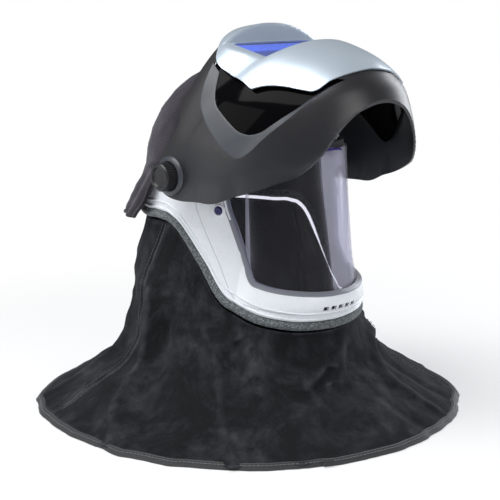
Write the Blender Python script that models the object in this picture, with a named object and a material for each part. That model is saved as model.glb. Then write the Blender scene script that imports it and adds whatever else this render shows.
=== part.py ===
"""Welding headtop of a powered air respirator: helmet, clear visor, flip-up shield, shroud.

Metres, +Z up. The wearer faces -Y and the wearer's right is -X. The hem stands on z = 0.
The shield is drawn closed, in its own frame with its origin on the pivot axis, and its parent
empty turns it up to where it rests.
"""
from math import atan2, cos, degrees, hypot, pi, radians, sin, sqrt

import bmesh
import bpy
from mathutils import Matrix, Vector

# ---- Driving dimensions ----
PIVOT_Y, PIVOT_Z = -0.011, 0.296          # the axis that shield and visor turn on, along X
FLIP_UP = radians(78)                     # how far the shield rests above closed
GAP = 0.0004                              # clearance between pieces that touch

# Shield, in its own frame: f forward and z up from the pivot axis
SHIELD_HALF_WIDTH = 0.139
SHIELD_SQUARENESS = 2.15                  # exponent of its rounded plan
SHIELD_WALL = 0.003
PLATE_X = 0.1355                          # outer face of the flat round the pivot
SHIELD_PROFILE = (                        # angle at the axis, radius on the centre line
    (-180, 0.200), (-100, 0.238), (-60, 0.234), (-50, 0.2345), (-45, 0.230), (-40, 0.2225),
    (-30, 0.2045), (-25, 0.196), (-20, 0.187), (-14, 0.182), (-4, 0.180), (8, 0.172), (28, 0.160),
    (60, 0.150), (100, 0.150), (180, 0.200),
)
SHIELD_OUTLINE = (                        # side view of the shell's edge, as (f, z)
    (0.270, -0.1893), (0.139, -0.1886), (0.123, -0.1858), (0.105, -0.1836), (0.0825, -0.181),
    (0.0665, -0.1755), (0.052, -0.167), (0.039, -0.151), (0.0205, -0.124), (0.006, -0.099),
    (-0.009, -0.076), (-0.016, -0.050), (-0.024, -0.020), (-0.0255, 0.004), (-0.018, 0.020),
    (0.0, 0.025), (0.0214, 0.019), (0.0454, 0.008), (0.064, 0.002), (0.078, 0.007),
    (0.0857, 0.0135), (0.098, 0.0085), (0.1224, 0.0085), (0.1411, 0.0110), (0.152, 0.016),
    (0.158, 0.030), (0.160, 0.050), (0.270, 0.060),
)
PANEL_LIFT = 0.0006
LENS_BOW = 0.0006                         # how far the recess's floor bulges, top to bottom
LENS_PLANE = 0.154                        # f of the recess that holds the lens
LENS_TOP, LENS_BOTTOM = 0.006, -0.063
LENS_HALF = 0.066
BROW_SLOPE, CHIN_SLOPE = 3.0, 1.3
FLOOR_TOP = degrees(atan2(LENS_TOP, LENS_PLANE))
FLOOR_LOW = degrees(atan2(LENS_BOTTOM, LENS_PLANE))
FRONT_TURNS = (-56, -51, -46, -41, -36, -31, -27, -24.5, FLOOR_LOW, -17, -11, -5, FLOOR_TOP,
               3.2, 5.2, 9, 15, 22, 30, 39, 48, 58)
BACK_TURNS = (78, 100, 125, 155, 180, -155, -125, -100, -78, -66)
SIDE_WINDOW = (                           # side view of each black side window, as (f, z)
    (0.131, -0.018), (0.100, -0.0345), (0.0888, -0.0645), (0.080, -0.0874), (0.0795, -0.102),
    (0.087, -0.1154), (0.1038, -0.1282), (0.1218, -0.1426), (0.140, -0.1503), (0.147, -0.138),
    (0.146, -0.118), (0.137, -0.083), (0.137, -0.049), (0.138, -0.022),
)
PANEL_TOP = ((0.0, 14), (0.060, 8), (0.090, -1), (0.0945, -4), (0.0973, -8), (0.0990, -21),
             (0.1022, -31.5))             # half width, angle of the silver panel's upper edge
PANEL_LOW = ((0.0, -44), (0.0306, -44.5), (0.0528, -45), (0.0716, -46.5), (0.0806, -44),
             (0.0869, -40.5), (0.0959, -35.5), (0.1022, -33))

# Helmet
HELMET_WALL = 0.003
DOME_RISE = 0.126
VISOR_HALF, CHIN_HALF = 0.082, 0.092      # half width at the visor's side edge, and at the jaw
CORNER_Y, WIDE_Y = -0.075, 0.025          # where the front bow ends, and the widest section
FACE_FRONT = ((0.114, 0.146), (0.132, 0.155), (0.148, 0.1625), (0.200, 0.157), (0.296, 0.134))
VISOR_FRONT = ((0.132, 0.155), (0.148, 0.1625), (0.168, 0.159), (0.200, 0.1533), (0.254, 0.144),
               (0.282, 0.140), (0.296, 0.1385), (0.340, 0.134))
SIDE_HALF = ((0.150, 0.110), (0.250, 0.113), (0.296, 0.108))
REAR_REACH = ((0.240, 0.151), (0.260, 0.137), (0.285, 0.125), (0.310, 0.121))
LOWER_EDGE = (                            # station round the helmet, height of its lower edge
    (0.0, 0.116), (0.1, 0.118), (0.176, 0.1225), (0.224, 0.1265), (0.268, 0.132),
    (0.312, 0.138), (0.344, 0.1455), (0.368, 0.1545), (0.388, 0.164), (0.408, 0.174),
    (0.432, 0.185), (0.456, 0.196), (0.484, 0.208), (0.516, 0.2195), (0.540, 0.226),
    (0.568, 0.231), (0.604, 0.235), (0.640, 0.236), (0.688, 0.234), (1.0, 0.238),
)
FRONT_END, SIDE_END = 0.30, 0.60          # stations where the front bow and the side end
GASKET_RADIUS = 0.005
GASKET_RISE = 0.0105                      # from the gasket's lower edge to the shell
INLET_Z = 0.318
PIN_STATION, PIN_HEIGHT = 0.364, 0.256

SEAM = (                                  # side view of the edge between helmet and visor
    (-0.250, 0.1360), (-0.153, 0.1362), (-0.138, 0.139), (-0.113, 0.143), (-0.086, 0.1475),
    (-0.075, 0.151), (-0.063, 0.168), (-0.051, 0.193), (-0.0377, 0.222), (-0.0283, 0.243),
    (-0.0225, 0.258), (-0.0220, 0.275), (-0.0240, 0.290), (-0.034, 0.306), (-0.055, 0.325),
    (-0.085, 0.336), (-0.250, 0.336),
)
VIEW = (                                  # side view of the hole in the visor's frame
    (-0.250, 0.158), (-0.160, 0.158), (-0.1442, 0.161), (-0.1203, 0.165), (-0.1059, 0.168),
    (-0.0958, 0.171), (-0.0887, 0.178), (-0.0834, 0.187), (-0.0755, 0.205), (-0.071, 0.222),
    (-0.0657, 0.241), (-0.0600, 0.259), (-0.0570, 0.279), (-0.0600, 0.305), (-0.066, 0.345),
    (-0.250, 0.345),
)
TUCK, TUCK_SIDE = 0.0055, 0.0025          # how far the brow and temples are drawn in

# Shroud
SHROUD_PROFILE = (                        # height, radius
    (0.0, 0.277), (0.011, 0.256), (0.020, 0.238), (0.030, 0.221), (0.041, 0.201),
    (0.055, 0.179), (0.070, 0.163), (0.088, 0.153), (0.121, 0.144), (0.170, 0.133),
    (0.218, 0.114),
    (0.245, 0.104),
)
LEATHER = 0.0025
HEM_TOP, PANEL_BOTTOM = 0.012, 0.0148   # top of the hem tape, lower edge of the leather
RIGHT_SEAM, LEFT_SEAM, LEFT_FRONT_SEAM = -108, 108, 47   # degrees from the front
TAB_TURN = -24
LEATHER_DROP = (2 * GASKET_RADIUS + 0.0045, 0.004)   # from the helmet's edge, down and inwards

MATERIALS = {                             # colour, roughness, metallic
    "shield_black": ((0.022, 0.023, 0.027), 0.45, 0.0),
    "panel_silver": ((0.62, 0.67, 0.72), 0.3, 0.6),
    "gloss_black": ((0.004, 0.004, 0.005), 0.06, 0.0),
    "helmet_white": ((0.80, 0.82, 0.84), 0.35, 0.0),
    "clear_visor": ((0.85, 0.88, 0.92), 0.03, 0.0),
    "cover_clear": ((0.35, 0.42, 0.75), 0.05, 0.0),
    "filter_dark": ((0.01, 0.01, 0.05), 0.05, 0.0),
    "cell_blue": ((0.01, 0.01, 0.03), 0.2, 0.0),
    "knob_black": ((0.012, 0.012, 0.014), 0.4, 0.0),
    "pin_blue": ((0.015, 0.015, 0.09), 0.35, 0.0),
    "gasket_grey": ((0.10, 0.11, 0.12), 0.9, 0.0),
    "leather_black": ((0.012, 0.013, 0.015), 0.85, 0.0),
    "cover_fabric": ((0.035, 0.033, 0.040), 0.95, 0.0),
    "hem_tape": ((0.02, 0.02, 0.022), 0.8, 0.0),
    "band_grey": ((0.09, 0.09, 0.10), 0.55, 0.0),
    "pad_foam": ((0.05, 0.05, 0.055), 0.95, 0.0),
    "duct_grey": ((0.16, 0.17, 0.18), 0.5, 0.0),
    "steel": ((0.55, 0.56, 0.58), 0.3, 1.0),
}
ALPHA = {"clear_visor": 0.2, "cover_clear": 0.35}


# ---- Scene, materials and small tools ----
def clear_scene():
    for obj in list(bpy.data.objects):
        bpy.data.objects.remove(obj, do_unlink=True)


def material(name):
    found = bpy.data.materials.get(name)
    if found:
        return found
    colour, roughness, metallic = MATERIALS[name]
    made = bpy.data.materials.new(name)
    made.use_nodes = True
    shader = made.node_tree.nodes["Principled BSDF"]
    shader.inputs["Base Color"].default_value = (*colour, 1)
    shader.inputs["Roughness"].default_value = roughness
    shader.inputs["Metallic"].default_value = metallic
    shader.inputs["Alpha"].default_value = ALPHA.get(name, 1.0)
    return made


def follow(points, t):
    """The value at t on a smooth curve through (t, value) pairs, which never overshoots them."""
    pairs = sorted(points)
    if t <= pairs[0][0]:
        return pairs[0][1]
    if t >= pairs[-1][0]:
        return pairs[-1][1]
    slopes = [(b[1] - a[1]) / (b[0] - a[0]) for a, b in zip(pairs, pairs[1:])]
    i = max(k for k, pair in enumerate(pairs) if pair[0] <= t)

    def tangent(k):
        if k in (0, len(pairs) - 1):
            return slopes[0] if k == 0 else slopes[-1]
        a, b = slopes[k - 1], slopes[k]
        return 0.0 if a * b <= 0 else 2 * a * b / (a + b)

    width = pairs[i + 1][0] - pairs[i][0]
    s = (t - pairs[i][0]) / width
    ease = s * s * (3 - 2 * s)
    lift = s * (1 - s) ** 2 * tangent(i) - s * s * (1 - s) * tangent(i + 1)
    return pairs[i][1] + (pairs[i + 1][1] - pairs[i][1]) * ease + width * lift


def add_object(name, bm, colour, parent=None, smooth=True):
    mesh = bpy.data.meshes.new(name)
    bm.to_mesh(mesh)
    bm.free()
    mesh.materials.append(material(colour))
    if smooth:
        mesh.shade_smooth()
        mesh.set_sharp_from_angle(angle=radians(35))
    obj = bpy.data.objects.new(name, mesh)
    bpy.context.scene.collection.objects.link(obj)
    obj.parent = parent
    return obj


def add_axis(name, location, parent=None, tilt=0.0):
    """An empty that marks where a moving body turns or slides."""
    empty = bpy.data.objects.new(name, None)
    empty.empty_display_size = 0.02
    empty.location = location
    empty.rotation_euler = (tilt, 0, 0)
    bpy.context.scene.collection.objects.link(empty)
    empty.parent = parent
    return empty


def sheet(rows, inside, wrap=False):
    """A bmesh grid through rows of points, its faces turned away from the point inside."""
    bm = bmesh.new()
    grid = [[bm.verts.new(p) for p in row] for row in rows]
    count = len(rows[0])
    for low, high in zip(grid, grid[1:]):
        for i in range(count if wrap else count - 1):
            j = (i + 1) % count
            bm.faces.new((low[i], low[j], high[j], high[i]))
    bmesh.ops.remove_doubles(bm, verts=bm.verts, dist=1e-6)
    bmesh.ops.recalc_face_normals(bm, faces=bm.faces)
    away = sum(f.normal.dot(f.calc_center_median() - Vector(inside)) for f in bm.faces)
    if away < 0:
        bmesh.ops.reverse_faces(bm, faces=bm.faces)
    return bm


def thicken(obj, thickness, outward=False):
    mod = obj.modifiers.new("Wall", "SOLIDIFY")
    mod.thickness = thickness
    mod.offset = 1.0 if outward else -1.0
    mod.use_even_offset = True
    return obj


def boolean(obj, other, operation="DIFFERENCE"):
    mod = obj.modifiers.new(operation.title(), "BOOLEAN")
    mod.operation = operation
    mod.object = other
    mod.solver = "EXACT"
    other.hide_render = True
    other.display_type = "WIRE"
    return obj


def box_mesh(low, high):
    bm = bmesh.new()
    bmesh.ops.create_cube(bm, size=1.0)
    low, high = Vector(low), Vector(high)
    for vert in bm.verts:
        vert.co = Vector(l + (c + 0.5) * (h - l) for l, c, h in zip(low, vert.co, high))
    return bm


def box(name, low, high, colour, parent=None, bevel=0.0):
    obj = add_object(name, box_mesh(low, high), colour, parent, smooth=False)
    if bevel:
        mod = obj.modifiers.new("Bevel", "BEVEL")
        mod.width = bevel
        mod.segments = 1
    return obj


def prism_mesh(outline, x_low, x_high):
    """A side-view outline of (y, z) points drawn out along X."""
    bm = bmesh.new()
    near = [bm.verts.new((x_low, y, z)) for y, z in outline]
    far = [bm.verts.new((x_high, y, z)) for y, z in outline]
    count = len(outline)
    bm.faces.new(near)
    bm.faces.new(far[::-1])
    for i in range(count):
        j = (i + 1) % count
        bm.faces.new((near[j], near[i], far[i], far[j]))
    bmesh.ops.recalc_face_normals(bm, faces=bm.faces)
    return bm


def prism(name, outline, x_low, x_high, parent=None):
    return add_object(name, prism_mesh(outline, x_low, x_high), "steel", parent, smooth=False)


def turned_mesh(profile, sides, centre=(0, 0, 0), axis="X", ribs=0.0):
    """A solid turned on an axis from a closed profile of (along, radius) points."""
    bm = bmesh.new()
    rings = []
    for k in range(sides):
        angle = 2 * pi * k / sides
        ring = []
        for along, radius in profile:
            r = radius - (ribs if k % 2 and radius > 0.015 else 0.0)
            a, b = r * cos(angle), r * sin(angle)
            place = {"X": (along, a, b), "Y": (a, along, b), "Z": (a, b, along)}[axis]
            ring.append(bm.verts.new(Vector(centre) + Vector(place)))
        rings.append(ring)
    count = len(profile)
    for k in range(sides):
        here, there = rings[k], rings[(k + 1) % sides]
        for i in range(count):
            j = (i + 1) % count
            bm.faces.new((here[i], here[j], there[j], there[i]))
    bmesh.ops.remove_doubles(bm, verts=bm.verts, dist=1e-7)
    bmesh.ops.dissolve_degenerate(bm, dist=1e-7, edges=bm.edges)
    bmesh.ops.recalc_face_normals(bm, faces=bm.faces)
    return bm


def turned(name, profile, sides, colour, centre=(0, 0, 0), axis="X", parent=None, ribs=0.0):
    bm = turned_mesh(profile, sides, centre, axis, ribs)
    return add_object(name, bm, colour, parent)


def disc_profile(low, high, inner, outer):
    return ((low, inner), (high, inner), (high, outer), (low, outer))


# ---- Shield ----
def recess_radius(turn):
    """The radius of the hollow round the lens: its floor is upright, under a steep brow and
    above a gentler slope."""
    a = radians(turn)
    if not FLOOR_LOW - 12 < turn < FLOOR_TOP + 12:
        return 1.0
    floor = LENS_PLANE / max(0.05, cos(a))
    brow = (LENS_PLANE - BROW_SLOPE * LENS_TOP) / max(0.05, cos(a) - BROW_SLOPE * sin(a))
    slope = (LENS_PLANE + CHIN_SLOPE * LENS_BOTTOM) / max(0.05, cos(a) + CHIN_SLOPE * sin(a))
    return max(floor, brow if turn > FLOOR_TOP else 0.0, slope if turn < FLOOR_LOW else 0.0)


def shield_point(turn, x, out=0.0):
    """The point of the shield's outer face at an angle round the axis and a place across it."""
    n = SHIELD_SQUARENESS
    share = min(1.0, abs(x) / SHIELD_HALF_WIDTH)
    reach = follow(SHIELD_PROFILE, turn) * (1 - share ** n) ** (1 / n)
    bow = LENS_BOW * (1 - (2 * (turn - FLOOR_LOW) / (FLOOR_TOP - FLOOR_LOW) - 1) ** 2)
    floor = recess_radius(turn) + max(0.0, bow) - 0.12 * x * x
    reach = min(reach, floor) + (out if share < 0.97 else 0.0)
    side = 1 if x > 0 else -1
    flat = min(abs(x) + out * share ** 2, PLATE_X + out)
    return Vector((side * flat, -reach * cos(radians(turn)), reach * sin(radians(turn))))


def shield_stations():
    """Places across the shield, from its middle to the pivot, closer together as it curves."""
    steps = 9
    return [SHIELD_HALF_WIDTH * sin(pi / 2 * k / steps) ** (2 / SHIELD_SQUARENESS)
            for k in range(steps + 1)]


def shield_shell(name, colour, parent, out=0.0, wall=SHIELD_WALL):
    """The whole rounded body round the axis, as a wall, before it is cut to its outline."""
    across = shield_stations()
    xs = [-x for x in across[:0:-1]] + across
    turns = FRONT_TURNS + BACK_TURNS + FRONT_TURNS[:1]
    rows = [[shield_point(turn, x, out) for x in xs] for turn in turns]
    bm = sheet(rows, (0, 0, 0))
    return thicken(add_object(name, bm, colour, parent), wall)


def side_outline(points):
    """(f, z) points as the (y, z) points of a prism in the shield's frame."""
    return [(-f, z) for f, z in points]


def grow(outline, distance):
    """An outline with each edge moved out by a distance, or in where that is negative."""
    count = len(outline)
    area = sum(a[0] * b[1] - b[0] * a[1] for a, b in zip(outline, outline[1:] + outline[:1]))
    turn = 1 if area > 0 else -1
    moved = []
    for i in range(count):
        before, here, after = (Vector(outline[k % count]) for k in (i - 1, i, i + 1))
        a, b = (here - before).normalized(), (after - here).normalized()
        normal = Vector((a.y + b.y, -a.x - b.x)) * turn
        normal.normalize()
        lean = max(0.4, normal.dot(Vector((a.y, -a.x)) * turn))
        moved.append(tuple(here + normal * distance / lean))
    return moved


def make_shield(parent):
    shell = shield_shell("shield_shell", "shield_black", parent)
    outline = side_outline(SHIELD_OUTLINE)
    boolean(shell, prism("cut_shield_edge", outline, -0.2, 0.2, parent), "INTERSECT")
    outline = side_outline(SIDE_WINDOW)
    boolean(shell, prism("cut_side_windows", outline, -0.2, 0.2, parent))
    bore = turned("cut_pivot_bore", ((-0.2, 0), (0.2, 0), (0.2, 0.0066), (-0.2, 0.0066)), 20,
                  "steel", parent=parent)
    boolean(shell, bore)
    low, high = LENS_BOTTOM + 0.0033, LENS_TOP - 0.0042
    window = add_object("cut_lens_hole", box_mesh((-0.0652, -0.172, low), (0.0652, -0.120, high)),
                        "steel", parent)
    boolean(shell, window)
    for name, near, far in (("right", -0.2, -0.01), ("left", 0.01, 0.2)):
        plate = shield_shell(f"side_window_{name}", "gloss_black", parent,
                             -SHIELD_WALL - 0.0012, 0.0016)
        cutter = prism(f"cut_side_window_{name}", grow(outline, 0.004), near, far, parent)
        boolean(plate, cutter, "INTERSECT")
    make_front_panel(parent)


def make_front_panel(parent):
    """The silver panel that lies on the shell, from the brow to the cheek on each side."""
    wide = PANEL_TOP[-1][0]
    half = sorted([x for x in shield_stations() if 0 < x < wide] + [0.0945, 0.0985, wide])
    rows = []
    for x in [-x for x in half[::-1]] + [0.0] + half:
        top, low = follow(PANEL_TOP, abs(x)), follow(PANEL_LOW, abs(x))
        turns = [low] + [min(max(t, low), top) for t in FRONT_TURNS] + [top]
        rows.append([shield_point(turn, x, PANEL_LIFT) for turn in turns])
    panel = add_object("front_panel", sheet(rows, (0, 0, 0)), "panel_silver", parent)
    thicken(panel, 0.0016, outward=True)
    hole = add_object("cut_panel_window", box_mesh(
        (-LENS_HALF, -0.2, LENS_BOTTOM + 0.002), (LENS_HALF, -0.120, LENS_TOP - 0.003)),
        "steel", parent)
    boolean(panel, hole)


def make_lens(parent):
    """What sits in the shield's window, from the cover plate back to the inner cover."""
    low, high = LENS_BOTTOM + 0.0006, LENS_TOP - 0.0016
    box("outer_cover_plate", (-0.0684, -0.1502, low), (0.0684, -0.1490, high), "cover_clear",
        parent)
    case = box("filter_cassette", (-0.0684, -0.1485, low), (0.0684, -0.1415, high),
               "knob_black", parent)
    opening = ((-0.050, -0.2, -0.052), (0.050, -0.1, -0.014))
    boolean(case, add_object("cut_filter_opening", box_mesh(*opening), "steel", parent))
    slot = ((-0.020, -0.2, -0.0105), (0.020, -0.1472, -0.0035))
    boolean(case, add_object("cut_cell_slot", box_mesh(*slot), "steel", parent))
    box("filter_glass", (-0.0496, -0.1480, -0.0516), (0.0496, -0.1432, -0.0144), "filter_dark",
        parent)
    box("solar_cell", (-0.0196, -0.1484, -0.0101), (0.0196, -0.1476, -0.0039), "cell_blue",
        parent)
    box("inner_cover_plate", (-0.054, -0.1411, -0.053), (0.054, -0.1401, -0.013),
        "cover_clear", parent)
    for name, x in (("shade", -0.012), ("delay", 0.0), ("sensitivity", 0.012)):
        axis = add_axis(f"{name}_button_axis", (x, -0.1403, -0.0575), parent)
        box(f"{name}_button", (-0.0035, 0, -0.0025), (0.0035, 0.0014, 0.0025), "band_grey", axis)
    for name, side in (("right", -1), ("left", 1)):
        axis = add_axis(f"battery_axis_{name}", (side * 0.0575, -0.1411, -0.033), parent)
        box(f"battery_holder_{name}", (-0.003, 0, -0.014), (0.003, 0.0035, 0.014),
            "knob_black", axis)


def make_pivots(shield):
    """The posts, washers and knobs that the shield turns on, and its two raised rings."""
    for name, side in (("right", -1), ("left", 1)):
        post = ((0.1092, 0), (0.1495, 0), (0.1495, 0.006), (0.1290, 0.006), (0.1290, 0.014),
                (0.1092, 0.014))
        mirrored = [(side * x, r) for x, r in post]
        centre = (0, PIVOT_Y, PIVOT_Z)
        turned(f"pivot_post_{name}", mirrored, 20, "steel", centre)
        washer = disc_profile(side * 0.1294, side * 0.1320, 0.0064, 0.014)
        turned(f"friction_washer_{name}", washer, 20, "band_grey", centre)
        ring = ((0.1359, 0.0175), (0.1392, 0.0175), (0.1392, 0.0195), (0.1359, 0.0230))
        turned(f"pivot_ring_{name}", [(side * x, r) for x, r in ring], 28, "shield_black",
               parent=shield)
        axis = add_axis(f"knob_axis_{name}", centre)
        knob = ((0.1500, 0), (0.1544, 0), (0.1544, 0.0150), (0.1530, 0.0168), (0.1362, 0.0168),
                (0.1362, 0.0064), (0.1500, 0.0064))
        turned(f"pivot_knob_{name}", [(side * x, r) for x, r in knob], 36, "knob_black",
               parent=axis, ribs=0.0008)


# ---- Helmet ----
def plan_point(station, front, half, side_half, rear):
    """A point of a level section, for a station from 0 in front to 1 behind."""
    if station <= FRONT_END:
        t = pi / 2 * station / FRONT_END
        return half * sin(t), CORNER_Y + (-front - CORNER_Y) * cos(t)
    if station <= SIDE_END:
        t = (station - FRONT_END) / (SIDE_END - FRONT_END)
        swell = sin(pi / 2 * t) ** 0.7
        return half + (side_half - half) * swell, CORNER_Y + (WIDE_Y - CORNER_Y) * t
    t = pi / 2 * (station - SIDE_END) / (1 - SIDE_END)
    return side_half * cos(t) ** 0.92, WIDE_Y + (rear - WIDE_Y) * sin(t) ** 0.92


def shell_point(station, z, rise=0.0, out=0.0, front=FACE_FRONT):
    """A point of the helmet's outer face: rise is the angle up the dome, in degrees, and out
    is how far the face is moved out. The sign of station picks the wearer's left or right."""
    level = min(z, PIVOT_Z)
    half = follow(((0.150, CHIN_HALF), (0.190, VISOR_HALF)), level)
    x, y = plan_point(abs(station), follow(front, z) + out, half + out,
                      follow(SIDE_HALF, level) + out, follow(REAR_REACH, z) + out)
    shrink = cos(radians(rise))
    z = z + (DOME_RISE + out) * sin(radians(rise))
    return Vector((x * shrink * (1 if station >= 0 else -1), y * shrink, z))


def ease(t):
    t = min(1.0, max(0.0, t))
    return t * t * (3 - 2 * t)


def tucked(p):
    """A point of the helmet drawn in at the brow and the temples, where the visor swings past."""
    f, z = PIVOT_Y - p.y, p.z - PIVOT_Z
    angle, reach = degrees(atan2(z, f)), hypot(f, z)
    share = ease((angle + 22) / 16) * ease((64 - angle) / 14) * ease((reach - 0.006) / 0.010)
    away = Vector((p.x / 0.108 ** 2, p.y / 0.134 ** 2, z / DOME_RISE ** 2)).normalized()
    return p - away * share * (TUCK + TUCK_SIDE * abs(away.x))


def stations(first, last, count):
    return [first + (last - first) * k / count for k in range(count + 1)]


def make_helmet_shell():
    around = stations(-1, 1, 56)[:-1]
    rows = []
    for k in range(8):
        share = k / 7
        rows.append([tucked(shell_point(s, low + (PIVOT_Z - low) * share))
                     for s in around for low in [follow(LOWER_EDGE, abs(s)) + GASKET_RISE]])
    for rise in (8, 17, 26, 35, 45, 54, 62, 70, 79):
        rows.append([tucked(shell_point(s, PIVOT_Z, rise)) for s in around])
    rows.append([Vector((0, 0, PIVOT_Z + DOME_RISE))] * len(around))
    shell = thicken(add_object("helmet_shell", sheet(rows, (0, 0, 0.3), wrap=True),
                               "helmet_white"), HELMET_WALL)
    boolean(shell, prism("cut_face_opening", SEAM, -0.2, 0.2))
    hole = turned("cut_inlet_hole", ((-0.03, 0), (0.03, 0), (0.03, 0.0176), (-0.03, 0.0176)),
                  24, "steel")
    hole.matrix_world = inlet_frame()
    boolean(shell, hole)


def make_visor():
    """The clear visor and the white frame that carries it on the pivots."""
    around = stations(-0.47, 0.47, 34)
    heights = [0.128, 0.138, 0.149, 0.168, 0.188, 0.215, 0.250, 0.290, 0.333]
    rows = [[shell_point(s, z, front=VISOR_FRONT) for s in around] for z in heights]
    frame = thicken(add_object("visor_frame", sheet(rows, (0, 0, 0.25)), "helmet_white"), 0.003)
    boolean(frame, prism("cut_frame_outside", grow(list(SEAM), -0.0008), -0.2, 0.2), "INTERSECT")
    boolean(frame, prism("cut_frame_view", VIEW, -0.2, 0.2))
    for name, side in (("right", -1), ("left", 1)):
        join_arm(frame, name, side)
    slot_cutters(frame)

    heights = [0.149, 0.158, 0.170, 0.188, 0.215, 0.250, 0.290, 0.326]
    around = stations(-0.40, 0.40, 28)
    rows = [[shell_point(s, z, out=-0.0056, front=VISOR_FRONT) for s in around]
            for z in heights]
    lens = thicken(add_object("visor_lens", sheet(rows, (0, 0, 0.25)), "clear_visor"), 0.0016)
    boolean(lens, prism("cut_visor_edge", grow(list(VIEW), 0.0055), -0.2, 0.2), "INTERSECT")
    rows = [[shell_point(s, z, out=-0.0046, front=VISOR_FRONT) for s in stations(-0.1, 0.1, 8)]
            for z in (0.1390, 0.1475)]
    thicken(add_object("exhaust_flap", sheet(rows, (0, 0, 0.25)), "gasket_grey"), 0.0014)
    box("visor_tab", (-0.018, -0.1400, 0.3264), (0.018, -0.1275, 0.3296), "cover_clear",
        bevel=0.001)
    for name, side in (("right", -1), ("left", 1)):
        pin = [(0, 0), (0.0030, 0), (0.0030, 0.0052), (0.0022, 0.0062), (0, 0.0062)]
        piece = turned(f"visor_pin_{name}", pin, 20, "pin_blue")
        base = shell_point(side * PIN_STATION, PIN_HEIGHT, out=0.0016, front=VISOR_FRONT)
        facing = Vector((side, -0.42, 0)).to_track_quat("X", "Z")
        piece.matrix_world = Matrix.LocRotScale(base, facing, None)


def join_arm(frame, name, side):
    """A shoulder and a ring, all one piece with the frame, that carry it on the pivot post."""
    near, far = 0.1125, 0.1155
    for part, low, high in (("shoulder", (0.0955, -0.050, 0.291), (far, -0.037, 0.306)),
                            ("bar", (near, -0.050, 0.2875), (far, -0.026, 0.3085))):
        xs = sorted((side * low[0], side * high[0]))
        bm = box_mesh((xs[0], *low[1:]), (xs[1], *high[1:]))
        boolean(frame, add_object(f"join_{part}_{name}", bm, "steel"), "UNION")
    ring = disc_profile(side * near, side * far, 0.0144, 0.0220)
    boolean(frame, turned(f"join_ring_{name}", ring, 24, "steel", (0, PIVOT_Y, PIVOT_Z)),
            "UNION")


def slot_cutters(frame):
    """The row of air slots in the chin of the visor's frame."""
    for k in range(-2, 3):
        x = 0.011 * k
        cutter = add_object(f"cut_chin_slot_{k + 3}", box_mesh(
            (x - 0.0035, -0.2, 0.1410), (x + 0.0035, -0.13, 0.1458)), "steel")
        boolean(frame, cutter)


def ring_tube(points, radius, sides):
    """A closed tube round a loop of points."""
    bm = bmesh.new()
    count = len(points)
    rings = []
    for i, here in enumerate(points):
        along = (points[(i + 1) % count] - points[i - 1]).normalized()
        across = along.cross(Vector((0, 0, 1))).normalized()
        over = across.cross(along)
        rings.append([bm.verts.new(here + radius * (across * cos(2 * pi * k / sides)
                                                    + over * sin(2 * pi * k / sides)))
                      for k in range(sides)])
    for i in range(count):
        here, there = rings[i], rings[(i + 1) % count]
        for k in range(sides):
            bm.faces.new((here[k], here[(k + 1) % sides], there[(k + 1) % sides], there[k]))
    bmesh.ops.recalc_face_normals(bm, faces=bm.faces)
    return bm


def edge_down(station):
    """The helmet's lower edge at a station, and the way from it that leads straight off it."""
    def place(s):
        return shell_point(s, follow(LOWER_EDGE, abs(s)) + GASKET_RISE, out=-0.0015)

    here = place(station)
    along = place(min(1.0, station + 0.005)) - place(max(-1.0, station - 0.005))
    outward = Vector((here.x, here.y, 0)).normalized()
    down = outward.cross(along).normalized()
    return here, down if down.z < 0 else -down


def below_edge(station, drop, inset=0.0):
    here, down = edge_down(station)
    inward = Vector((-here.x, -here.y, 0)).normalized()
    return here + down * drop + inward * inset


def make_gasket():
    loop = [below_edge(s, GASKET_RADIUS + 0.0012) for s in stations(-1, 1, 48)[:-1]]
    add_object("edge_gasket", ring_tube(loop, GASKET_RADIUS - GAP, 6), "gasket_grey")


def cover_reach(rise):
    """The station at which the head cover's front edge runs, by the angle up the dome."""
    return follow(((0, 0.56), (15, 0.47), (30, 0.40), (45, 0.34), (60, 0.27), (75, 0.14),
                   (90, 0.0)), rise)


def make_head_cover():
    """Fabric over the dome and down behind, standing further off the helmet as it hangs."""
    half = 12
    rows = []
    for z, out in ((0.2325, 0.0185), (0.246, 0.0170), (0.262, 0.0135), (0.279, 0.0100)):
        edge = follow(((0.232, 0.70), (0.250, 0.665), (0.279, 0.645)), z)
        rows.append(cover_row(edge, z, 0, out, half))
    for rise, out in ((0, 0.0080), (15, 0.0072), (30, 0.0050), (45, 0.0048), (60, 0.0048),
                      (76, 0.0048)):
        edge = cover_reach(rise) if rise else 0.61
        rows.append(cover_row(edge, PIVOT_Z, rise, out, half))
    rows.append([Vector((0, 0, PIVOT_Z + DOME_RISE + 0.0048))] * (2 * half + 1))
    cover = add_object("head_cover", sheet(rows, (0, 0, 0.3)), "cover_fabric")
    thicken(cover, 0.0025)
    hole = turned("cut_cover_hole", ((-0.02, 0), (0.06, 0), (0.06, 0.0205), (-0.02, 0.0205)), 24,
                  "steel")
    hole.matrix_world = inlet_frame()
    boolean(cover, hole)


def cover_row(edge, z, rise, out, half):
    row = []
    for k in range(-half, half + 1):
        station = 1 - (1 - edge) * abs(k) / half
        row.append(shell_point(station if k >= 0 else -station, z, rise, out))
    return row


def inlet_frame():
    """Where the air inlet leaves the helmet, its own X axis along the pipe."""
    down = radians(30)
    rear = follow(REAR_REACH, INLET_Z) * sqrt(1 - ((INLET_Z - PIVOT_Z) / DOME_RISE) ** 2)
    facing = Vector((0, cos(down), -sin(down))).to_track_quat("X", "Z")
    return Matrix.LocRotScale(Vector((0, rear, INLET_Z)), facing, None)


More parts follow.
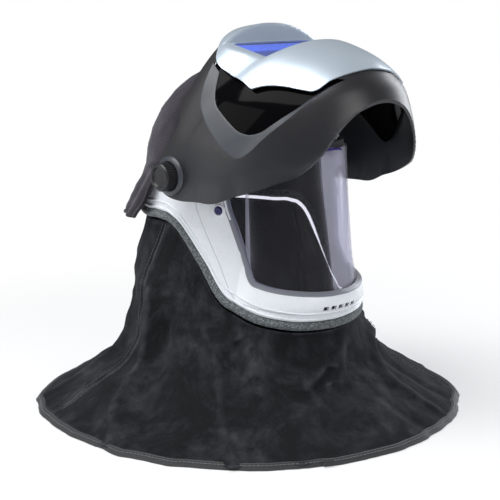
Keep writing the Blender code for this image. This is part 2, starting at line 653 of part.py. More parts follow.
def make_air_path():
    """The inlet that the breathing tube plugs into, its seal, the duct and the deflector."""
    pipe = ((-0.0035, 0.0125), (0.048, 0.0125), (0.048, 0.0170), (0.0425, 0.0170),
            (0.0425, 0.0155), (0.0395, 0.0155), (0.0395, 0.0170), (0.0225, 0.0170),
            (0.0225, 0.0190), (0.0200, 0.0190), (0.0200, 0.0170), (-0.0035, 0.0170))
    inlet = turned("air_inlet", pipe, 20, "duct_grey")
    inlet.matrix_world = inlet_frame()
    seal = turned("inlet_seal", disc_profile(0.0398, 0.0422, 0.0158, 0.0178), 20, "gasket_grey")
    seal.matrix_world = inlet_frame()

    across = [-0.030, -0.018, 0, 0.018, 0.030]
    rows = [[duct_point(x, rise, 1) for x in across] for rise in (8, 20, 35, 50, 65, 80)]
    rows += [[duct_point(x, rise, -1) for x in across] for rise in (80, 70, 62)]
    duct = add_object("air_duct", sheet(rows, (0, 0, 0.3)), "duct_grey")
    thicken(duct, 0.0014)

    axis = add_axis("deflector_axis", (0, -0.1080, 0.3465))
    box("air_deflector", (-0.020, -0.0008, -0.0125), (0.020, 0.0008, 0.0), "duct_grey", axis)


def duct_point(x, rise, end):
    """A point of the duct's skin, a set way inside the dome, behind for end 1, in front for -1."""
    depth = 0.0095
    reach = (follow(REAR_REACH, 0.31) if end > 0 else follow(FACE_FRONT, 0.296)) - depth
    y = end * reach * cos(radians(rise)) * sqrt(1 - (x / 0.11) ** 2)
    top = DOME_RISE - depth
    return Vector((x, y, PIVOT_Z + top * sin(radians(rise)) - 6.0 * x * x))


# ---- Harness ----
BAND_X, BAND_Y, BAND_CENTRE = 0.078, 0.097, -0.010
BAND_Z, BAND_TILT = 0.303, 0.026


def band_point(turn, out=0.0, up=0.0):
    """A point of the headband: turn 0 is the forehead. It lies lower behind."""
    a = radians(turn)
    x = (BAND_X + out) * sin(a)
    y = BAND_CENTRE - (BAND_Y + out) * cos(a)
    return Vector((x, y, BAND_Z + BAND_TILT * cos(a) + up))


def band_strip(name, colour, turns, out, low, high, wall, wrap=False):
    rows = [[band_point(t, out, up) for t in turns] for up in (low, high)]
    return thicken(add_object(name, sheet(rows, (0, BAND_CENTRE, 0.3), wrap), colour), wall)


def make_harness():
    turns = [10 * k for k in range(36)]
    band = band_strip("headband", "band_grey", turns, 0.0, -0.011, 0.011, 0.002, wrap=True)
    for k, turn in enumerate((42, 138, 222, 318)):
        hook = add_object(f"join_hook_{k + 1}", box_mesh((-0.006, -0.001, -0.008),
                                                        (0.006, 0.0145, 0.008)), "steel")
        facing = band_point(turn, 1.0) - band_point(turn, 0.0)
        hook.matrix_world = Matrix.LocRotScale(
            band_point(turn), facing.to_track_quat("Y", "Z"), None)
        boolean(band, hook, "UNION")
    pad_turns = [-60 + 10 * k for k in range(13)]
    band_strip("sweatband", "pad_foam", pad_turns, -0.0025, -0.011, 0.011, 0.006)
    nape = [150 + 10 * k for k in range(7)]
    band_strip("nape_pad", "pad_foam", nape, -0.0025, -0.011, 0.011, 0.006)
    make_crown_strap("crown_strap_across", "X", -0.0085)
    make_crown_strap("crown_strap_along", "Y", -0.0020)

    rear = BAND_CENTRE + BAND_Y
    box("ratchet_housing", (-0.024, rear + 0.0004, 0.264), (0.024, rear + 0.0105, 0.291),
        "band_grey", bevel=0.002)
    axis = add_axis("ratchet_axis", (0, rear + 0.0110, 0.2775))
    knob = ((0.0, 0), (0.0110, 0), (0.0110, 0.0150), (0.0, 0.0170))
    turned("ratchet_knob", knob, 36, "knob_black", axis="Y", parent=axis, ribs=0.0009)


def make_crown_strap(name, along, lift):
    """A strap over the head, from one side of the headband to the other."""
    rows = []
    for side in (-0.010, 0.010):
        row = []
        for k in range(13):
            a = radians(180 * k / 12)
            reach = (BAND_X - 0.001 if along == "X" else BAND_Y - 0.001)
            across, up = -reach * cos(a), (0.066 + lift) * sin(a)
            base = BAND_Z + 0.0150 + (BAND_TILT * cos(a) if along == "Y" else 0.0)
            if along == "X":
                row.append(Vector((across, BAND_CENTRE + side, base + up)))
            else:
                row.append(Vector((side, BAND_CENTRE + across, base + up)))
        rows.append(row)
    thicken(add_object(name, sheet(rows, (0, 0, 0.3)), "band_grey"), 0.0016)


def make_brow_seal():
    """A lip behind the visor's upper edge that bears on the brow."""
    rows = []
    for z, out in ((0.3215, -0.0078), (0.3335, -0.0095)):
        rows.append([shell_point(s, z, out=out, front=VISOR_FRONT)
                     for s in stations(-0.24, 0.24, 18)])
    thicken(add_object("brow_seal", sheet(rows, (0, 0, 0.2)), "gasket_grey"), 0.0016)


# ---- Shroud ----
def hem_factor(turn):
    """The hem isn't round: it is a little longer from front right to back left."""
    return 1 + 0.018 * cos(radians(2 * (turn + 40)))


def shroud_point(turn, share, out=0.0):
    """A point of the leather: turn in degrees from the front, share 0 at the hem, 1 at the
    gasket."""
    a = radians(turn)
    best = gasket_station(turn)
    top = below_edge(best, *LEATHER_DROP)
    z = PANEL_BOTTOM + (top.z - PANEL_BOTTOM) * share
    profile = follow(SHROUD_PROFILE, z)
    at_top = hypot(top.x, top.y) / follow(SHROUD_PROFILE, top.z)
    blend = max(0.0, (z - 0.06) / (top.z - 0.06)) ** 1.5
    low = max(0.0, 1 - z / 0.10)
    factor = (1 + (hem_factor(turn) - 1) * low) * (1 - blend) + at_top * blend
    reach = profile * factor + out
    return Vector((reach * sin(a), -reach * cos(a), z))


def gasket_station(turn):
    """The station round the helmet that lies in a direction from the middle."""
    low, high = 0.0, 1.0
    goal = abs((turn + 180) % 360 - 180)
    for _ in range(18):
        middle = (low + high) / 2
        p = below_edge(middle, *LEATHER_DROP)
        if degrees(atan2(abs(p.x), -p.y)) < goal:
            low = middle
        else:
            high = middle
    side = 1 if (turn % 360) < 180 else -1
    return side * (low + high) / 2


def make_shroud():
    panels = (("shroud_front", RIGHT_SEAM, LEFT_FRONT_SEAM, 20),
              ("shroud_left", LEFT_FRONT_SEAM, LEFT_SEAM, 8),
              ("shroud_rear", LEFT_SEAM, RIGHT_SEAM + 360, 18))
    shares = (0, 0.08, 0.18, 0.30, 0.46, 0.70, 1.0)
    for name, first, last, count in panels:
        turns = [first + 0.15 + (last - first - 0.3) * k / count for k in range(count + 1)]
        rows = [[shroud_point(t, share) for t in turns] for share in shares]
        thicken(add_object(name, sheet(rows, (0, 0, 0.1)), "leather_black"), LEATHER)
    section = ((0.0, 0.0275), (HEM_TOP, 0.0075), (HEM_TOP, 0.0035), (0.0, 0.0230))
    rings = [[hem_point(7.5 * k, z, out) for z, out in section] for k in range(48)]
    bm = bmesh.new()
    grid = [[bm.verts.new(p) for p in ring] for ring in rings]
    for k, here in enumerate(grid):
        there = grid[(k + 1) % len(grid)]
        for i in range(4):
            j = (i + 1) % 4
            bm.faces.new((here[i], there[i], there[j], here[j]))
    bmesh.ops.recalc_face_normals(bm, faces=bm.faces)
    add_object("hem_binding", bm, "hem_tape")
    tip = hem_point(TAB_TURN, 0.0, 0.0309)
    tab = box("hem_tab", (-0.006, -0.003, 0.0), (0.006, 0.0, 0.008), "hem_tape")
    tab.matrix_world = Matrix.LocRotScale(
        tip, Matrix.Rotation(radians(TAB_TURN), 3, "Z").to_quaternion(), None)


def hem_point(turn, z, out):
    edge = shroud_point(turn, 0.0)
    reach = hypot(edge.x, edge.y) + out
    a = radians(turn)
    return Vector((reach * sin(a), -reach * cos(a), z))


def main():
    clear_scene()
    shield = add_axis("shield_axis", (0, PIVOT_Y, PIVOT_Z), tilt=-FLIP_UP)
    make_shield(shield)
    make_lens(shield)
    make_pivots(shield)
    make_helmet_shell()
    make_visor()
    make_gasket()
    make_head_cover()
    make_air_path()
    make_harness()
    make_brow_seal()
    make_shroud()


main()
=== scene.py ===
"""Looks of the respirator headtop: its shells, glass, leather, fabric, light and camera.

Metres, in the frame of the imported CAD: the wearer faces -Y, the wearer's right is -X, +Z is up.
"""

from math import atan2, cos, degrees, exp, hypot, pi, radians, sin, sqrt

import bmesh
import bpy
import numpy as np
from mathutils import Matrix, Vector, noise


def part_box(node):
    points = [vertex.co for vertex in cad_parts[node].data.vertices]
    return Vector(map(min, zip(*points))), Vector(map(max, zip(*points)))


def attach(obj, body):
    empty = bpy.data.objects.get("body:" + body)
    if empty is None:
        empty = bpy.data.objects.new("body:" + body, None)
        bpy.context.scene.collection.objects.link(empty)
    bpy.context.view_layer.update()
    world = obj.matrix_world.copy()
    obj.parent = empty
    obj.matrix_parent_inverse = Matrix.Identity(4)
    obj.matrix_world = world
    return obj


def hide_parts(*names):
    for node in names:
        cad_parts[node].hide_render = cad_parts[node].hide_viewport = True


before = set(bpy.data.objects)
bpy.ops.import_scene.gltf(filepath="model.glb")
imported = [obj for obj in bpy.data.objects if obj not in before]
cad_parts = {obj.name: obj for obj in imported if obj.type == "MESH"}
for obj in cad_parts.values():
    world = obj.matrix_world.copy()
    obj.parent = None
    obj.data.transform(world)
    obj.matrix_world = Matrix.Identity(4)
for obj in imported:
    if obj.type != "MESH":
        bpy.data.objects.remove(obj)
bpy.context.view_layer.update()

# ---- Sizes that the CAD also holds ----
PIVOT_Y, PIVOT_Z = -0.011, 0.296
FLIP_UP = radians(78)
PIVOT = Matrix.Translation((0, PIVOT_Y, PIVOT_Z))
SHIELD_REST = PIVOT @ Matrix.Rotation(-FLIP_UP, 4, "X")
SHIELD_HALF_WIDTH, SHIELD_SQUARENESS, PLATE_X = 0.139, 2.15, 0.1355
CREASE, BROW_CREASE = 0.003, 0.0012       # how softly the shield's faces meet
SHIELD_PROFILE = (                        # angle at the axis, radius on the centre line
    (-180, 0.200), (-100, 0.238), (-60, 0.234), (-50, 0.2345), (-45, 0.230), (-40, 0.2225),
    (-30, 0.2045), (-25, 0.196), (-20, 0.187), (-14, 0.182), (-4, 0.180), (8, 0.172),
    (28, 0.160), (60, 0.150), (100, 0.150), (180, 0.200),
)
SHIELD_EDGE = (                           # side view of the shell's edge, as (f, z)
    (0.190, -0.1893), (0.139, -0.1886), (0.123, -0.1858), (0.105, -0.1836), (0.0825, -0.181),
    (0.0665, -0.1755), (0.052, -0.167), (0.039, -0.151), (0.0205, -0.124), (0.006, -0.099),
    (-0.009, -0.076), (-0.016, -0.050), (-0.024, -0.020), (-0.0255, 0.004), (-0.018, 0.020),
    (0.0, 0.025), (0.0214, 0.019), (0.0454, 0.008), (0.064, 0.002), (0.078, 0.007),
    (0.0857, 0.0135), (0.098, 0.0085), (0.1224, 0.0085), (0.1411, 0.0110), (0.152, 0.016),
    (0.158, 0.030), (0.160, 0.050),
)
LENS_PLANE, LENS_TOP, LENS_BOTTOM, LENS_HALF = 0.154, 0.006, -0.063, 0.066
BROW_SLOPE, CHIN_SLOPE = 3.0, 1.3
FLOOR_TOP = degrees(atan2(LENS_TOP, LENS_PLANE))
FLOOR_LOW = degrees(atan2(LENS_BOTTOM, LENS_PLANE))
PANEL_TOP = ((0.0, 14), (0.060, 8), (0.090, -1), (0.0945, -4), (0.0973, -8), (0.0990, -21),
             (0.1022, -31.5))             # half width, angle of the silver panel's upper edge
PANEL_LOW = ((0.0, -44), (0.0306, -44.5), (0.0528, -45), (0.0716, -46.5), (0.0806, -44),
             (0.0869, -40.5), (0.0959, -35.5), (0.1022, -33))
WINDOW_EDGE = (                           # free edge of a black side window, as (f, z)
    (0.1308, -0.0184), (0.1003, -0.0345), (0.0888, -0.0645), (0.0801, -0.0874),
    (0.080, -0.1024), (0.087, -0.1154), (0.1038, -0.1282), (0.1218, -0.1426), (0.1401, -0.1503),
)
BEVEL_EDGE = (                            # outer edge of the bevel round it
    (0.1361, -0.0036), (0.1117, -0.0117), (0.0911, -0.0202), (0.0762, -0.0397),
    (0.0629, -0.0652), (0.0528, -0.0862), (0.0508, -0.0997), (0.0629, -0.1112),
    (0.0826, -0.1224), (0.1062, -0.1384), (0.1273, -0.1491), (0.1437, -0.1568),
    (0.1557, -0.1612),
)
WINDOW_UNDER = (                          # the windows' edge under the silver panel
    (0.155, -0.150), (0.147, -0.138), (0.146, -0.118), (0.138, -0.083), (0.138, -0.049),
    (0.140, -0.022),
)

DOME_RISE = 0.126
VISOR_HALF, CHIN_HALF = 0.082, 0.092
CORNER_Y, WIDE_Y = -0.075, 0.025
FACE_FRONT = ((0.114, 0.146), (0.132, 0.155), (0.148, 0.1625), (0.200, 0.157), (0.296, 0.134))
VISOR_FRONT = ((0.132, 0.155), (0.148, 0.1625), (0.168, 0.159), (0.200, 0.1533),
               (0.254, 0.144), (0.282, 0.140), (0.296, 0.1385), (0.340, 0.134))
SIDE_HALF = ((0.150, 0.110), (0.250, 0.113), (0.296, 0.108))
REAR_REACH = ((0.240, 0.151), (0.260, 0.137), (0.285, 0.125), (0.310, 0.121))
LOWER_EDGE = (                            # station round the helmet, height of its lower edge
    (0, 0.116), (0.1, 0.118), (0.176, 0.1225), (0.224, 0.1265), (0.268, 0.132),
    (0.312, 0.138), (0.344, 0.1455), (0.368, 0.1545), (0.388, 0.164), (0.408, 0.174),
    (0.432, 0.185), (0.456, 0.196), (0.484, 0.208), (0.516, 0.2195), (0.540, 0.226),
    (0.568, 0.231), (0.604, 0.235), (0.640, 0.236), (0.688, 0.234), (1.0, 0.238),
)
FRONT_END, SIDE_END = 0.30, 0.60
GASKET_RADIUS, GASKET_RISE = 0.005, 0.0105
INLET_Z = 0.318
INLET_HOLE, COVER_HOLE = 0.0176, 0.0215   # radii round the inlet, in the helmet and the fabric
PIN_STATION, PIN_HEIGHT = 0.364, 0.256
SEAM = (                                  # side view of the edge between helmet and visor
    (-0.250, 0.1360), (-0.153, 0.1362), (-0.138, 0.139), (-0.113, 0.143), (-0.086, 0.1475),
    (-0.075, 0.151), (-0.063, 0.168), (-0.051, 0.193), (-0.0377, 0.222), (-0.0283, 0.243),
    (-0.0225, 0.258), (-0.0220, 0.275), (-0.0240, 0.290), (-0.034, 0.306), (-0.055, 0.325),
    (-0.085, 0.336), (-0.250, 0.336),
)
VIEW = (                                  # side view of the hole in the visor's frame
    (-0.250, 0.158), (-0.160, 0.158), (-0.1442, 0.161), (-0.1203, 0.165), (-0.1059, 0.168),
    (-0.0958, 0.171), (-0.0887, 0.178), (-0.0834, 0.187), (-0.0755, 0.205), (-0.071, 0.222),
    (-0.0657, 0.241), (-0.0600, 0.259), (-0.0570, 0.279), (-0.0600, 0.305), (-0.066, 0.345),
    (-0.250, 0.345),
)
TUCK, TUCK_SIDE = 0.0055, 0.0025          # how far the brow and temples are drawn in
SHROUD_PROFILE = (                        # height, radius
    (0.0, 0.277), (0.004, 0.270), (0.011, 0.256), (0.020, 0.238), (0.030, 0.221),
    (0.041, 0.201), (0.055, 0.179), (0.070, 0.163), (0.088, 0.153), (0.121, 0.144),
    (0.170, 0.133), (0.218, 0.114), (0.245, 0.104),
)
LEATHER_FOOT = 0.004                      # height at which the leather goes into the hem
RIGHT_SEAM, LEFT_SEAM, LEFT_FRONT_SEAM = -108, 108, 47
TAB_TURN = -24
LEATHER_DROP = (2 * GASKET_RADIUS + 0.0045, 0.004)
BAND_X, BAND_Y, BAND_CENTRE, BAND_Z, BAND_TILT = 0.078, 0.097, -0.010, 0.303, 0.026

# ---- Sizes of the pieces made here ----
SIDES = (("right", -1), ("left", 1))
SKIN = {                                  # thickness of each piece that is a sheet or a shell
    "shield": 0.0028, "bevel": 0.0012, "window": 0.0016, "panel": 0.0018, "helmet": 0.0022,
    "lining": 0.0006, "frame": 0.0028, "ledge": 0.0010, "sheet": 0.0016, "tab": 0.0014,
    "cover": 0.0018, "leather": 0.0022,
}
FAR = 0.2                                 # beyond the object on either side, for cutters
WINDOW_DEPTH = 0.0042                     # how far the black windows lie below the shield
ROLL_WIDTH, ROLL_DEPTH = 0.030, 0.0045    # the rounding of the shield's lower lip
LEDGE_TOP = 0.312                         # height where the ledge round the view ends


# ---- Curves ----
def follow(points, t):
    """The value at t on a smooth curve through (t, value) pairs, which never overshoots them."""
    pairs = sorted(points)
    if t <= pairs[0][0]:
        return pairs[0][1]
    if t >= pairs[-1][0]:
        return pairs[-1][1]
    slopes = [(b[1] - a[1]) / (b[0] - a[0]) for a, b in zip(pairs, pairs[1:])]
    i = max(k for k, pair in enumerate(pairs) if pair[0] <= t)

    def tangent(k):
        if k in (0, len(pairs) - 1):
            return slopes[0] if k == 0 else slopes[-1]
        a, b = slopes[k - 1], slopes[k]
        return 0.0 if a * b <= 0 else 2 * a * b / (a + b)

    width = pairs[i + 1][0] - pairs[i][0]
    s = (t - pairs[i][0]) / width
    lift = s * (1 - s) ** 2 * tangent(i) - s * s * (1 - s) * tangent(i + 1)
    return pairs[i][1] + (pairs[i + 1][1] - pairs[i][1]) * ease(s) + width * lift


def smooth_min(a, b, k):
    """The smaller value, rounded off where the two are within k of each other."""
    h = max(k - abs(a - b), 0.0) / k
    return min(a, b) - h * h * k / 4


def smooth_max(a, b, k):
    return -smooth_min(-a, -b, k)


def ease(t):
    """0 up to 1, starting and ending level."""
    t = min(1.0, max(0.0, t))
    return t * t * (3 - 2 * t)


def curved(points, per=8, closed=False):
    """More points on a Catmull-Rom curve through 2-D or 3-D points."""
    pts = [Vector(p) for p in points]
    count = len(pts)
    out = []
    for i in range(count if closed else count - 1):
        if closed:
            a, b, c, d = (pts[(i + k) % count] for k in (-1, 0, 1, 2))
        else:
            a, b, c, d = pts[max(0, i - 1)], pts[i], pts[i + 1], pts[min(count - 1, i + 2)]
        for k in range(per):
            t = k / per
            out.append(b + 0.5 * t * ((c - a) + t * ((2 * a - 5 * b + 4 * c - d)
                                                     + t * (3 * (b - c) + d - a))))
    if not closed:
        out.append(pts[-1])
    return out


def rounded(points, rounds=2, share=0.25, closed=True):
    """An outline with its corners cut back a few times, which leaves its sides straight."""
    pts = [Vector(p) for p in points]
    for _ in range(rounds):
        cut = []
        for a, b in zip(pts, pts[1:] + (pts[:1] if closed else [])):
            cut += [a.lerp(b, share), a.lerp(b, 1 - share)]
        pts = cut if closed else [pts[0]] + cut[1:-1] + [pts[-1]]
    return pts


def along(points, count):
    """Points spread evenly along a polyline."""
    pts = [Vector(p) for p in points]
    reach = [0.0]
    for a, b in zip(pts, pts[1:]):
        reach.append(reach[-1] + (b - a).length)
    out, i = [], 0
    for k in range(count):
        goal = reach[-1] * k / (count - 1)
        while i < len(pts) - 2 and reach[i + 1] < goal:
            i += 1
        span = reach[i + 1] - reach[i]
        out.append(pts[i].lerp(pts[i + 1], (goal - reach[i]) / span if span else 0.0))
    return out


def bisect(below, low, high, steps):
    """The place between low and high where below(place) stops being true."""
    for _ in range(steps):
        middle = (low + high) / 2
        if below(middle):
            low = middle
        else:
            high = middle
    return (low + high) / 2


def level(p):
    """The level direction from the upright axis to a point."""
    return Vector((p.x, p.y, 0)).normalized()


def spread(first, last, count):
    """count + 1 values, evenly from first to last."""
    return [first + (last - first) * k / count for k in range(count + 1)]


# ---- Meshes ----
def add_object(name, data):
    obj = bpy.data.objects.new(name, data)
    bpy.context.scene.collection.objects.link(obj)
    return obj


def new_piece(name, bm, look, body, replaces=(), sharp=35, transform=None, slot=None):
    """A visible piece that rides on a body. look is a key of MAT."""
    mesh = bpy.data.meshes.new(name)
    if transform:
        bm.transform(transform)
    bm.to_mesh(mesh)
    bm.free()
    mesh.materials.append(MAT[look])
    mesh.shade_smooth()
    if sharp:
        mesh.set_sharp_from_angle(angle=radians(sharp))
    obj = add_object(name, mesh)
    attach(obj, body)
    if replaces:
        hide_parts(*replaces)
    return obj


def add_rings(bm, rings, around=True, closed=False, caps=False):
    """Adds faces between neighbouring rings of points. around joins each ring's two ends, closed
    joins the last ring to the first, and caps fills the first ring and the last."""
    made = [[bm.verts.new(p) for p in ring] for ring in rings]
    count = len(made[0])
    for here, there in zip(made, made[1:] + (made[:1] if closed else [])):
        for i in range(count if around else count - 1):
            j = (i + 1) % count
            bm.faces.new((here[i], here[j], there[j], there[i]))
    if caps:
        bm.faces.new(made[0][::-1])
        bm.faces.new(made[-1])


def ring_mesh(rings, merge=0.0, **joins):
    """A mesh through rings of points, where points nearer than merge become one."""
    bm = bmesh.new()
    add_rings(bm, rings, **joins)
    if merge:
        bmesh.ops.remove_doubles(bm, verts=bm.verts, dist=merge)
    bmesh.ops.recalc_face_normals(bm, faces=bm.faces)
    return bm


def grid_mesh(rows, inside, wrap=False):
    """A grid through rows of points, its faces turned away from the point inside."""
    bm = ring_mesh(rows, 1e-6, around=wrap)
    away = sum(f.normal.dot(f.calc_center_median() - Vector(inside)) for f in bm.faces)
    if away < 0:
        bmesh.ops.reverse_faces(bm, faces=bm.faces)
    return bm


def wall(obj, thickness, outward=False):
    mod = obj.modifiers.new("Wall", "SOLIDIFY")
    mod.thickness = thickness
    mod.offset = 1.0 if outward else -1.0
    mod.use_even_offset = True


def soften(obj, width, segments=2, angle=40):
    mod = obj.modifiers.new("Edges", "BEVEL")
    mod.width = width
    mod.segments = segments
    mod.limit_method = "ANGLE"
    mod.angle_limit = radians(angle)


def cut(obj, bm, operation="DIFFERENCE", transform=None):
    """Cuts obj with a closed mesh at once, so that no cutter is left in the scene."""
    if transform:
        bm.transform(transform)
    cutter = bpy.data.meshes.new("cutter")
    bm.to_mesh(cutter)
    bm.free()
    other = add_object("cutter", cutter)
    mod = obj.modifiers.new("Cut", "BOOLEAN")
    mod.operation = operation
    mod.object = other
    mod.solver = "EXACT"
    graph = bpy.context.evaluated_depsgraph_get()
    mesh = bpy.data.meshes.new_from_object(obj.evaluated_get(graph), depsgraph=graph)
    obj.modifiers.clear()
    obj.data = mesh
    mesh.shade_smooth()
    mesh.set_sharp_from_angle(angle=radians(35))
    bpy.data.objects.remove(other)


def box_mesh(low, high):
    bm = bmesh.new()
    bmesh.ops.create_cube(bm, size=1.0)
    low, high = Vector(low), Vector(high)
    for vert in bm.verts:
        vert.co = Vector(l + (c + 0.5) * (h - l) for l, c, h in zip(low, vert.co, high))
    return bm


def prism_mesh(outline, x_low=-FAR, x_high=FAR):
    """A side-view outline of (y, z) points drawn out along X."""
    return ring_mesh([[(x, p[0], p[1]) for p in outline] for x in (x_low, x_high)], caps=True)


def turned_mesh(profile, sides, shape=None):
    """A solid turned on X from a closed profile of (along, radius) points. shape(angle, along,
    radius) gives the radius where it isn't round."""
    rings = []
    for k in range(sides):
        angle = 2 * pi * k / sides
        radii = [shape(angle, a, r) if shape else r for a, r in profile]
        rings.append([(a, r * cos(angle), r * sin(angle)) for (a, _), r in zip(profile, radii)])
    bm = ring_mesh(rings, 1e-7, closed=True)
    bmesh.ops.dissolve_degenerate(bm, dist=1e-7, edges=bm.edges)
    bmesh.ops.recalc_face_normals(bm, faces=bm.faces)
    return bm


def rod_mesh(low, high, radius, sides=48):
    """A plain rod on X."""
    return turned_mesh(((low, 0), (high, 0), (high, radius), (low, radius)), sides)


def rounded_profile(points, radius=0.0006):
    """A closed (along, radius) profile with its corners rounded by a set distance."""
    pts = [Vector(p) for p in points]
    out = []
    for i, here in enumerate(pts):
        before, after = pts[i - 1], pts[(i + 1) % len(pts)]
        if here.y < 1e-9:
            out.append(here)
            continue
        a, b = before - here, after - here
        reach = min(radius, a.length * 0.45, b.length * 0.45)
        start, end = here + a.normalized() * reach, here + b.normalized() * reach
        for t in (0.0, 0.33, 0.67, 1.0):
            out.append(start.lerp(here, t).lerp(here.lerp(end, t), t))
    return out


def turned_piece(name, profile, rounding, sides, look, body, replaces=(), shape=None, **more):
    """A piece turned on X from a profile whose corners are rounded."""
    bm = turned_mesh(rounded_profile(profile, rounding), sides, shape)
    return new_piece(name, bm, look, body, replaces, **more)


def tube_rings(points, radius, sides, closed=False):
    """Rings of points round a line."""
    pts = [Vector(p) for p in points]
    count = len(pts)
    rings = []
    for i, here in enumerate(pts):
        after = pts[(i + 1) % count] if closed or i < count - 1 else here
        before = pts[i - 1] if closed or i else here
        forward = (after - before).normalized()
        across = forward.cross(Vector((0, 0, 1)))
        if across.length < 1e-4:
            across = forward.cross(Vector((0, 1, 0)))
        across.normalize()
        over = across.cross(forward)
        rings.append([here + radius * (across * cos(2 * pi * k / sides)
                                       + over * sin(2 * pi * k / sides)) for k in range(sides)])
    return rings


# ---- Materials ----
class Nodes:
    """A node tree in the making."""

    def __init__(self, tree):
        self.tree = tree

    def node(self, kind, inputs=None, **settings):
        made = self.tree.nodes.new(kind)
        for key, value in settings.items():
            setattr(made, key, value)
        for key, value in (inputs or {}).items():
            self.feed(made.inputs[key], value)
        return made

    def feed(self, socket, value):
        """Gives a socket a link or a value. A colour may leave out its alpha."""
        if isinstance(value, bpy.types.NodeSocket):
            self.tree.links.new(value, socket)
        else:
            plain = socket.type == "RGBA" and len(value) == 3
            socket.default_value = (*value, 1) if plain else value

    def end_in_mix(self, share, first, second, output="Material Output"):
        """Ends the tree in a mix of two shaders."""
        both = self.node("ShaderNodeMixShader", {0: share, 1: first.outputs[0],
                                                 2: second.outputs[0]})
        self.feed(self.tree.nodes[output].inputs["Surface"], both.outputs[0])

    def camera_ray(self):
        """1 where the camera looks straight at it, and 0 for light that bounces."""
        return self.node("ShaderNodeLightPath").outputs["Is Camera Ray"]


class Look(Nodes):
    """A material in the making, on a Principled shader."""

    def __init__(self, name):
        self.material = bpy.data.materials.new(name)
        self.material.use_nodes = True
        super().__init__(self.material.node_tree)
        self.shader = self.tree.nodes["Principled BSDF"]
        self.place = self.node("ShaderNodeTexCoord").outputs["Object"]

    def set(self, **values):
        for key, value in values.items():
            self.feed(self.shader.inputs[key.replace("_", " ")], value)

    def noise(self, scale, detail=4.0, roughness=0.55, stretch=None, distortion=0.0):
        place = self.place
        if stretch:
            place = self.node("ShaderNodeMapping", {"Vector": place, "Scale": stretch}).outputs[0]
        return self.node("ShaderNodeTexNoise", {
            "Vector": place, "Scale": scale, "Detail": detail, "Roughness": roughness,
            "Distortion": distortion}).outputs["Fac"]

    def cells(self, scale, feature="F1", output="Distance"):
        return self.node("ShaderNodeTexVoronoi", {"Vector": self.place, "Scale": scale},
                         feature=feature).outputs[output]

    def map(self, value, low, high, new_low=0.0, new_high=1.0, **settings):
        inputs = {0: value, 1: low, 2: high, 3: new_low, 4: new_high}
        return self.node("ShaderNodeMapRange", inputs, **settings).outputs[0]

    def mix(self, share, a, b):
        return self.node("ShaderNodeMix", {0: share, 6: a, 7: b}, data_type="RGBA").outputs[2]

    def math(self, operation, a, b=0.0):
        return self.node("ShaderNodeMath", {0: a, 1: b}, operation=operation).outputs[0]

    def bump(self, height, depth, strength=1.0):
        """Adds relief of a depth in metres to the shader's normal."""
        inputs = {"Height": height, "Distance": depth, "Strength": strength}
        old = self.shader.inputs["Normal"]
        if old.is_linked:
            inputs["Normal"] = old.links[0].from_socket
        self.feed(old, self.node("ShaderNodeBump", inputs).outputs[0])

    def pointiness(self, low, high):
        """0 on flat and hollow places, rising to 1 on outer edges."""
        point = self.node("ShaderNodeNewGeometry").outputs["Pointiness"]
        return self.map(point, low, high)

    def worn(self, share=0.5):
        """share on outer edges and 0 elsewhere."""
        return self.math("MULTIPLY", self.pointiness(0.52, 0.60), share)


def shade(colour, factor, lift=0.0):
    return tuple(min(1.0, c * factor + lift) for c in colour)


def moulded(name, colour, roughness, grain=1500.0, depth=0.00002, spread=0.06, wear=0.12,
            **more):
    """Moulded plastic: a fine texture, slight unevenness, and edges rubbed a little paler."""
    look = Look(name)
    broad = look.noise(22, 3)
    fine = look.noise(260, 5)
    base = look.mix(look.map(broad, 0.3, 0.7), shade(colour, 1 - spread * 2),
                    shade(colour, 1 + spread * 2, spread * 0.004))
    base = look.mix(look.math("MULTIPLY", look.worn(wear), fine), base,
                    shade(colour, 1.35, 0.012))
    look.set(Base_Color=base, Roughness=look.map(fine, 0.3, 0.7, roughness - 0.05,
                                                 roughness + 0.05), **more)
    look.bump(look.noise(grain, 2), depth)
    return look.material


def shield_plastic():
    """Charcoal moulding, finely pebbled, a little warmer high up."""
    look = Look("shield_matte")
    height = look.node("ShaderNodeSeparateXYZ", {0: look.place}).outputs["Z"]
    warm = look.map(height, 0.29, 0.42)
    base = look.mix(warm, (0.0100, 0.0110, 0.0150), (0.0150, 0.0138, 0.0150))
    broad = look.noise(18, 3)
    base = look.mix(look.map(broad, 0.35, 0.7, 0.0, 0.35), base, (0.019, 0.0195, 0.024))
    fine = look.noise(420, 4)
    base = look.mix(look.worn(0.3), base, (0.045, 0.046, 0.052))
    look.set(Base_Color=base, Roughness=look.map(fine, 0.3, 0.7, 0.33, 0.41),
             Specular_IOR_Level=0.45)
    look.bump(look.noise(1900, 2), 0.00003, 0.7)
    look.bump(broad, 0.0002, 0.25)
    return look.material


def silver_lacquer():
    """Silver metallic lacquer: pale blue-grey with a fine flake under a clear coat."""
    look = Look("silver_lacquer")
    flake = look.cells(2600.0, output="Color")
    speck = look.node("ShaderNodeSeparateColor", {0: flake}).outputs[0]
    base = look.mix(look.map(speck, 0.0, 1.0, 0.0, 0.5), (0.44, 0.51, 0.58), (0.53, 0.60, 0.67))
    broad = look.noise(14, 2)
    base = look.mix(look.map(broad, 0.35, 0.65, 0.0, 0.25), base, (0.40, 0.47, 0.54))
    look.set(Base_Color=base, Metallic=0.45, Roughness=look.map(speck, 0, 1, 0.30, 0.42),
             Coat_Weight=0.35, Coat_Roughness=0.12)
    look.bump(speck, 0.000012, 0.5)
    return look.material


